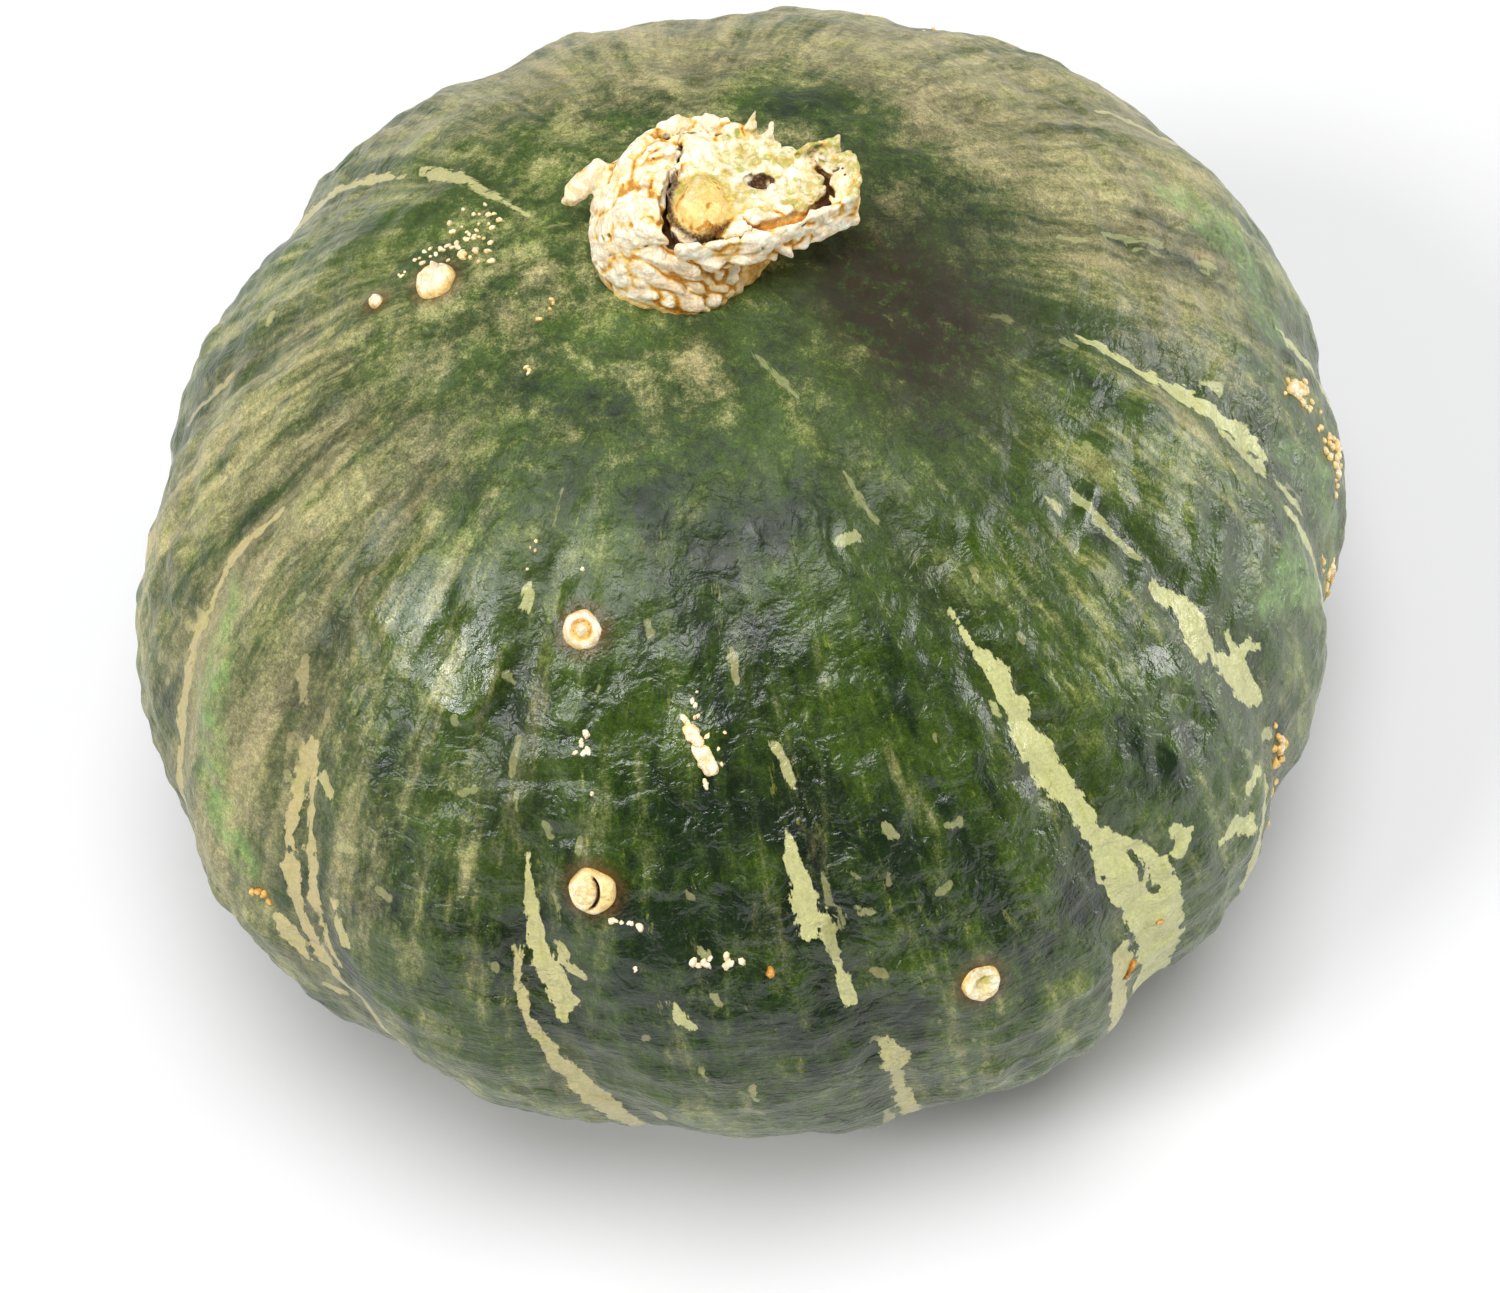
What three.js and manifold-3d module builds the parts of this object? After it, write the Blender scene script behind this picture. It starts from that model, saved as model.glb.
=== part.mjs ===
// Kabocha squash, as picked: one low, ribbed, slightly lopsided green fruit, with the dried corky
// stub of its stem on top.
// Millimetres, +Z up, -Y is the front. The origin is under the middle of the fruit, on the surface
// that the fruit rests on.

import * as THREE from "three";
import { mergeVertices } from "three/addons/utils/BufferGeometryUtils.js";
import Module from "manifold-3d";

const wasm = await Module();
wasm.setup();

// ---- Driving dimensions -------------------------------------------------------------------

const FRUIT = {
  radius: 92.5, // mean radius at the widest level
  crownHeight: 73, // widest level to the top
  baseDepth: 56.5, // widest level to the blossom end
  crownPower: 1.85, // under 2 rises to a soft point, over 2 is boxier
  basePower: 2.3,
  lean: { x: -0.14, y: 0.052 }, // how far the axis drifts for each mm of height
  around: 76, // mesh steps round the fruit
  upwards: 38, // mesh steps from pole to pole
};

// The outline seen from above isn't a true circle: [waves round, share of radius, phase in degrees].
const PLAN_WAVES = [
  [2, 0.057, 135],
  [3, 0.01, 20],
  [4, 0.019, 38.5],
];

// The grooves between the ribs: [azimuth at the shoulder, azimuth at the widest level, depth].
// Azimuth is in degrees from the front, growing towards the right.
const GROOVES = [
  [-151, -150, 1.6],
  [-121, -119, 1.8],
  [-94, -88, 1.6],
  [-67, -60, 2.0],
  [-48, -39, 2.0],
  [-24, -15.5, 2.2],
  [7, 12.5, 1.8],
  [36, 40, 2.6],
  [64, 65, 2.0],
  [89, 87, 2.4],
  [107, 108, 2.0],
  [131, 130, 1.8],
  [156, 155, 1.6],
  [182, 182, 1.6],
];
const GROOVE_HALF_WIDTH = 5; // degrees

const CROWN_DIMPLE = { depth: 2.5, radius: 20 }; // the hollow that the stem grows from
const BLOSSOM_DIMPLE = { depth: 5, radius: 11 }; // the hollow at the blossom end
const REST_CUT = 1.2; // how much of the underside is pressed flat by the fruit's own weight

// Corky knobs on the skin: [azimuth, latitude, diameter, height].
const WARTS = [
  [-17, 52.5, 5.4, 1.3],
  [-13, 29, 6.3, 1.3],
  [22, 13, 5.8, 1.4],
  [-89, 65, 6.0, 1.8],
  [-89, 58.5, 2.6, 1.0],
];

// The stem from bottom to top: height, middle in x and y, half width in x and y.
const STEM_RINGS = [
  { z: -4.0, x: -1.0, y: 1.5, rx: 11.5, ry: 10.6 },
  { z: 1.5, x: -1.2, y: 1.6, rx: 12.6, ry: 11.6 },
  { z: 6.0, x: -0.4, y: 1.8, rx: 13.2, ry: 11.2 },
  { z: 10.5, x: 2.6, y: 2.0, rx: 14.4, ry: 10.4 },
  { z: 15.0, x: 5.6, y: 2.2, rx: 15.6, ry: 9.8 },
];
const STEM = {
  around: 40,
  upwards: 12,
  corners: 5, // a squash stem is softly five-sided
  cornerShare: 0.045,
  cutTilt: -0.08, // the cut face drops towards the right
  cutDish: 1.5, // its middle is lower than its rim
  seatGap: 0.3, // between the stem and the skin
};

const SKIN = new THREE.MeshStandardMaterial({ color: 0x34472f, roughness: 0.42, metalness: 0 });
const CORK = new THREE.MeshStandardMaterial({ color: 0xd9bf8c, roughness: 0.85, metalness: 0 });

// ---- Shape helpers ------------------------------------------------------------------------

const radians = THREE.MathUtils.degToRad;
const degrees = THREE.MathUtils.radToDeg;

function bell(distance, width) {
  return Math.exp(-((distance / width) ** 2));
}

// The shortest way round from one azimuth to another, in degrees.
function turnBetween(from, to) {
  return THREE.MathUtils.euclideanModulo(to - from + 180, 360) - 180;
}

function outlineFactor(azimuth) {
  let factor = 1;
  for (const [waves, share, phase] of PLAN_WAVES) {
    factor += share * Math.cos(radians(waves * (azimuth - phase)));
  }
  return factor;
}

// How far the skin sinks into the grooves at one place. They fade out at both poles.
function grooveDepth(azimuth, latitude) {
  const fade = Math.max(0, Math.cos(radians(latitude))) ** 0.8;
  let depth = 0;
  for (const [shoulder, waist, full] of GROOVES) {
    const middle = THREE.MathUtils.mapLinear(latitude, 45, 0, shoulder, waist);
    depth += full * bell(turnBetween(middle, azimuth), GROOVE_HALF_WIDTH);
  }
  return depth * fade;
}

// A point on the skin, from its azimuth and latitude in degrees. Height is from the widest level.
function skinPoint(azimuth, latitude) {
  const top = latitude >= 0;
  const power = top ? FRUIT.crownPower : FRUIT.basePower;
  const height = top ? FRUIT.crownHeight : FRUIT.baseDepth;
  const level = radians(latitude);
  const across = Math.max(0, Math.cos(level)) ** (2 / power);
  const upwards = Math.sign(level) * Math.abs(Math.sin(level)) ** (2 / power);
  const radius = FRUIT.radius * across * outlineFactor(azimuth) - grooveDepth(azimuth, latitude);
  const dimple = top ? CROWN_DIMPLE : BLOSSOM_DIMPLE;
  const sunk = Math.sign(upwards) * dimple.depth * bell(radius, dimple.radius);
  const z = height * upwards - sunk;
  const turn = radians(azimuth);
  return new THREE.Vector3(
    radius * Math.sin(turn) + FRUIT.lean.x * z,
    -radius * Math.cos(turn) + FRUIT.lean.y * z,
    z,
  );
}

// Moves each vertex of a geometry, then joins the shared ones so that the mesh is closed.
function reshape(geometry, move) {
  geometry.deleteAttribute("normal");
  geometry.deleteAttribute("uv");
  const joined = mergeVertices(geometry, 1e-5);
  const places = joined.getAttribute("position");
  for (let i = 0; i < places.count; i += 1) {
    const moved = move(new THREE.Vector3().fromBufferAttribute(places, i));
    places.setXYZ(i, moved.x, moved.y, moved.z);
  }
  return joined;
}

function toSolid(geometry) {
  const vertProperties = new Float32Array(geometry.getAttribute("position").array);
  const triVerts = new Uint32Array(geometry.getIndex().array);
  return new wasm.Manifold(new wasm.Mesh({ numProp: 3, vertProperties, triVerts }));
}

function toGeometry(solid) {
  const mesh = solid.getMesh();
  const geometry = new THREE.BufferGeometry();
  geometry.setAttribute("position", new THREE.BufferAttribute(mesh.vertProperties, 3));
  geometry.setIndex(new THREE.BufferAttribute(mesh.triVerts, 1));
  geometry.computeVertexNormals();
  return geometry;
}

// ---- The fruit ----------------------------------------------------------------------------

function bodySolid() {
  const ball = new THREE.SphereGeometry(1, FRUIT.around, FRUIT.upwards);
  const shape = reshape(ball, (p) => {
    const latitude = degrees(Math.asin(THREE.MathUtils.clamp(p.y, -1, 1)));
    const azimuth = degrees(Math.atan2(p.x, p.z));
    return skinPoint(azimuth, latitude);
  });
  return toSolid(shape);
}

// A wart is a squat ball half sunk in the skin, lying along it.
function wartSolid([azimuth, latitude, diameter, height]) {
  const place = skinPoint(azimuth, latitude);
  const alongAzimuth = skinPoint(azimuth + 1, latitude).sub(place);
  const alongLatitude = skinPoint(azimuth, latitude + 1).sub(place);
  const outwards = alongAzimuth.cross(alongLatitude).normalize();
  const turn = new THREE.Quaternion().setFromUnitVectors(new THREE.Vector3(0, 0, 1), outwards);
  const ball = new THREE.SphereGeometry(1, 14, 8);
  return toSolid(reshape(ball, (p) => {
    p.multiply(new THREE.Vector3(diameter / 2, diameter / 2, height));
    return p.applyQuaternion(turn).add(place);
  }));
}

// Everything under the level that the fruit rests on.
function underside() {
  const size = 4 * FRUIT.radius;
  const block = new THREE.BoxGeometry(size, size, size);
  const top = REST_CUT - FRUIT.baseDepth;
  return toSolid(reshape(block, (p) => p.add(new THREE.Vector3(0, 0, top - size / 2))));
}

function fruitSolid() {
  let solid = bodySolid();
  for (const wart of WARTS) {
    solid = solid.add(wartSolid(wart));
  }
  return solid.subtract(underside());
}

// ---- The stem -----------------------------------------------------------------------------

// The ring of the stem at a share of its height, blended smoothly between the listed ones.
function stemRing(share) {
  const place = {};
  for (const key of ["z", "x", "y", "rx", "ry"]) {
    const points = STEM_RINGS.map((ring, i) => new THREE.Vector2(i, ring[key]));
    place[key] = new THREE.SplineCurve(points).getPoint(share).y;
  }
  return place;
}

function stemSolid() {
  const rod = new THREE.CylinderGeometry(1, 1, 1, STEM.around, STEM.upwards);
  const crown = skinPoint(0, 90);
  const shape = reshape(rod, (p) => {
    const share = p.y + 0.5;
    const ring = stemRing(share);
    const angle = Math.atan2(-p.z, p.x);
    const reach = Math.min(1, Math.hypot(p.x, p.z));
    const corner = 1 + STEM.cornerShare * Math.cos(STEM.corners * angle);
    const x = ring.x + ring.rx * reach * corner * Math.cos(angle);
    const y = ring.y + ring.ry * reach * corner * Math.sin(angle);
    const tilt = STEM.cutTilt * x * share ** 3;
    const dish = share > 0.999 ? STEM.cutDish * (1 - reach) : 0;
    return new THREE.Vector3(x, y, ring.z + tilt - dish).add(crown);
  });
  return toSolid(shape);
}

// ---- The whole squash ---------------------------------------------------------------------

function namedMesh(name, solid, material, shift) {
  const mesh = new THREE.Mesh(toGeometry(solid), material);
  mesh.name = name;
  mesh.position.copy(shift);
  return mesh;
}

const fruit = fruitSolid();
const stem = stemSolid().subtract(fruit.translate([0, 0, STEM.seatGap]));

const box = fruit.boundingBox();
const toOrigin = new THREE.Vector3(
  -(box.min[0] + box.max[0]) / 2,
  -(box.min[1] + box.max[1]) / 2,
  -box.min[2],
);

const squash = new THREE.Group();
squash.add(namedMesh("fruit", fruit, SKIN, toOrigin));
squash.add(namedMesh("stem", stem, CORK, toOrigin));

export default squash;
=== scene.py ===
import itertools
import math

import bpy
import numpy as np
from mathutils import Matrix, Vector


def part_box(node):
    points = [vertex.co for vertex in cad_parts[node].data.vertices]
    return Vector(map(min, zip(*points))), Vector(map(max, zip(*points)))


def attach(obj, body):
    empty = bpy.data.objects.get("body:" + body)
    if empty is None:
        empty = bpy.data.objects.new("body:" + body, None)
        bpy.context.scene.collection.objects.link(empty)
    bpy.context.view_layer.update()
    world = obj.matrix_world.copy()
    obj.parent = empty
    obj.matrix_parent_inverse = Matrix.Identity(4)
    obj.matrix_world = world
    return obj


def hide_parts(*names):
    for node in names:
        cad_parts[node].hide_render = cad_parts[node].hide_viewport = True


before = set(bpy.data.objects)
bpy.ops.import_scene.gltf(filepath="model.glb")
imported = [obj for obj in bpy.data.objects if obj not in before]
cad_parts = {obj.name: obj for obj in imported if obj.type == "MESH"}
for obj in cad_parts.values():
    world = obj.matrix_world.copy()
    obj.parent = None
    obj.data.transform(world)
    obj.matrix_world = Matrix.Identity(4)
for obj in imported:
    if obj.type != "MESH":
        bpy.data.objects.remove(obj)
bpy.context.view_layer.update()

# Looks of a kabocha squash: one ribbed green fruit with a dried corky stem stub.
# Shapes are worked out in millimetres from the middle of the fruit's widest level, with +Z up
# and -Y the front, and are moved into the frame, in metres, as each mesh is made.
# An azimuth is in degrees from the front, growing towards the right. A latitude is in degrees
# above the widest level.

MM = 0.001

# ---- Driving dimensions, the same as the CAD part's -----------------------------------------

RADIUS = 92.5
CROWN_HEIGHT = 73.0
BASE_DEPTH = 56.5
CROWN_POWER = 1.85
BASE_POWER = 2.3
LEAN = (-0.14, 0.052)
PLAN_WAVES = [(2, 0.057, 135), (3, 0.01, 20), (4, 0.019, 38.5)]
CROWN_DIMPLE = (2.5, 20.0)  # depth, radius
BLOSSOM_DIMPLE = (5.0, 11.0)
REST_CUT = 1.2
REST_LEVEL = REST_CUT - BASE_DEPTH

# The grooves between the ribs: azimuth at the shoulder, azimuth at the widest level, depth.
GROOVES = [
    (-151, -150, 1.6),
    (-121, -119, 1.8),
    (-94, -88, 1.6),
    (-67, -60, 2.0),
    (-48, -39, 2.0),
    (-24, -15.5, 2.2),
    (7, 12.5, 1.8),
    (36, 40, 2.6),
    (64, 65, 2.0),
    (89, 87, 2.4),
    (107, 108, 2.0),
    (131, 130, 1.8),
    (156, 155, 1.6),
    (182, 182, 1.6),
]
GROOVE_HALF_WIDTH = 5.0  # degrees
SHOULDER_LATITUDE = 45.0

# ---- Camera and mesh ------------------------------------------------------------------------

CAMERA_ELEVATION = math.radians(58.0)
# The direction from the squash to the camera.
CAMERA_BACK = (0.0, -math.cos(CAMERA_ELEVATION), math.sin(CAMERA_ELEVATION))
CAMERA_DISTANCE = 600.0
CAMERA_AIM = (-1.3, -14.0)  # right and up in the view, from the middle of the widest level
CAMERA_LENS = 93.0

# How far towards the camera the skin's mesh spreads from, as a share of the radius. It is finer
# on that side.
MESH_PULL = 0.25
SKIN_CELLS = 127  # squares along each side of the cube that the skin's mesh is blown up from


# ---- Numbers --------------------------------------------------------------------------------


def srgb(red, green, blue):
    """A colour given as 0 to 255 screen values, as the linear colour that a shader takes."""
    return tuple(
        (v / 255 / 12.92 if v <= 10 else ((v / 255 + 0.055) / 1.055) ** 2.4)
        for v in (red, green, blue)
    ) + (1.0,)


def bell(distance, width):
    return np.exp(-((distance / width) ** 2))


def ramp(value, low, high):
    """0 at low, 1 at high, smooth between them. Either can be the greater."""
    share = np.clip((value - low) / (high - low), 0.0, 1.0)
    return share * share * (3 - 2 * share)


def band(value, start, full, last, end):
    """0 up to start, 1 from full to last and 0 again from end, smooth between them."""
    return ramp(value, start, full) * ramp(value, end, last)


def turn_between(start, end):
    """The shortest way round from one azimuth to another, in degrees."""
    return (end - start + 180.0) % 360.0 - 180.0


NOISE_GAIN = 1.6  # brings the noise to about -1 to 1
LAYER_STEP = 17.3  # mm between the starts of two layers, so that they don't line up


class Noise:
    """Smooth noise in about -1 to 1, the same on each run for one seed."""

    def __init__(self, seed):
        rng = np.random.default_rng(seed)
        self.order = rng.permutation(256)
        slopes = rng.normal(size=(256, 3))
        self.slopes = slopes / np.linalg.norm(slopes, axis=1, keepdims=True)

    def __call__(self, points, size):
        """points in mm, size the width of one bump in mm, as a number or one for each axis."""
        scaled = np.asarray(points, float) / size
        cell = np.floor(scaled).astype(int)
        inside = scaled - cell
        ease = inside**3 * (inside * (inside * 6 - 15) + 10)
        total = np.zeros(len(scaled))
        for corner in itertools.product((0, 1), repeat=3):
            key = (cell + corner) & 255
            mixed = self.order[key[:, 0]]
            mixed = self.order[(mixed + key[:, 1]) & 255]
            mixed = self.order[(mixed + key[:, 2]) & 255]
            height = ((inside - corner) * self.slopes[mixed]).sum(axis=1)
            weight = np.where(np.array(corner) == 1, ease, 1 - ease).prod(axis=1)
            total += height * weight
        return total * NOISE_GAIN

    def layered(self, points, size, layers):
        """Layers of noise, each half as wide and half as high as the one before."""
        total = 0.0
        for layer in range(layers):
            total = total + self(points + LAYER_STEP * layer, size / 2**layer) / 2**layer
        return total


# ---- The fruit's shape ----------------------------------------------------------------------


def outline_factor(azimuth):
    factor = 1.0
    for waves, share, phase in PLAN_WAVES:
        factor = factor + share * np.cos(np.radians(waves * (azimuth - phase)))
    return factor


def groove_azimuth(groove, latitude):
    """A groove leans from its azimuth at the widest level to the one at the shoulder."""
    shoulder, waist, _ = groove
    return waist + (shoulder - waist) * latitude / SHOULDER_LATITUDE


def groove_depth(azimuth, latitude):
    """How far the skin sinks into the grooves, in mm. They fade out at both poles."""
    fade = np.maximum(0.0, np.cos(np.radians(latitude))) ** 0.8
    depth = 0.0
    for groove in GROOVES:
        offset = turn_between(groove_azimuth(groove, latitude), azimuth)
        depth = depth + groove[2] * bell(offset, GROOVE_HALF_WIDTH)
    return depth * fade


def skin_points(azimuth, latitude):
    """Points on the smooth skin, in mm, one row for each azimuth and latitude."""
    azimuth = np.asarray(azimuth, float)
    latitude = np.asarray(latitude, float)
    top = latitude >= 0
    power = np.where(top, CROWN_POWER, BASE_POWER)
    height = np.where(top, CROWN_HEIGHT, BASE_DEPTH)
    level = np.radians(latitude)
    across = np.maximum(0.0, np.cos(level)) ** (2 / power)
    upwards = np.sign(level) * np.abs(np.sin(level)) ** (2 / power)
    radius = RADIUS * across * outline_factor(azimuth) - groove_depth(azimuth, latitude)
    crown = CROWN_DIMPLE[0] * bell(radius, CROWN_DIMPLE[1])
    blossom = BLOSSOM_DIMPLE[0] * bell(radius, BLOSSOM_DIMPLE[1])
    z = height * upwards - np.where(top, crown, -blossom)
    turn = np.radians(azimuth)
    x = radius * np.sin(turn) + LEAN[0] * z
    y = -radius * np.cos(turn) + LEAN[1] * z
    return np.stack([x, y, z], axis=-1)


def frame_shift():
    """What takes a point from the middle of the widest level to the frame, in mm."""
    azimuth, latitude = np.meshgrid(np.arange(0, 360, 2.0), np.arange(-60, 61, 2.0))
    points = skin_points(azimuth.ravel(), latitude.ravel())
    middle = (points.min(axis=0) + points.max(axis=0)) / 2
    low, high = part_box("fruit")
    wanted = (np.array(low) + np.array(high)) / 2 / MM
    return np.array([wanted[0] - middle[0], wanted[1] - middle[1], low[2] / MM - REST_LEVEL])


SHIFT = frame_shift()


def ball_grid(cells):
    """Directions from the middle of a ball to its mesh points, and the quads between them."""
    steps = np.arange(cells + 1)
    across, up = np.meshgrid(steps, steps, indexing="ij")
    index = np.arange((cells + 1) ** 2).reshape(cells + 1, cells + 1)
    corners, quads = [], []
    for axis, end in itertools.product(range(3), (0, cells)):
        side = np.empty((cells + 1, cells + 1, 3), int)
        side[..., axis] = end
        side[..., (axis + 1) % 3] = across
        side[..., (axis + 2) % 3] = up
        ring = [index[:-1, :-1], index[1:, :-1], index[1:, 1:], index[:-1, 1:]]
        if end == 0:
            ring.reverse()
        quads.append(np.stack(ring, axis=-1).reshape(-1, 4) + len(corners) * index.size)
        corners.append(side.reshape(-1, 3))
    lattice = np.concatenate(corners)
    keys = lattice @ np.array([(cells + 1) ** 2, cells + 1, 1])
    _, first, same = np.unique(keys, return_index=True, return_inverse=True)
    directions = np.tan((2 * lattice[first] / cells - 1) * math.pi / 4)
    directions /= np.linalg.norm(directions, axis=1, keepdims=True)
    return directions, same.ravel()[np.concatenate(quads)]


def vertex_normals(points, quads):
    """The mean direction of the quads round each point."""
    sides = points[quads[:, 2]] - points[quads[:, 0]]
    others = points[quads[:, 3]] - points[quads[:, 1]]
    faces = np.cross(sides, others)
    normals = np.zeros_like(points)
    for corner in range(4):
        np.add.at(normals, quads[:, corner], faces)
    return normals / np.maximum(np.linalg.norm(normals, axis=1, keepdims=True), 1e-12)


# ---- Pale marks on the skin -----------------------------------------------------------------

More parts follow.
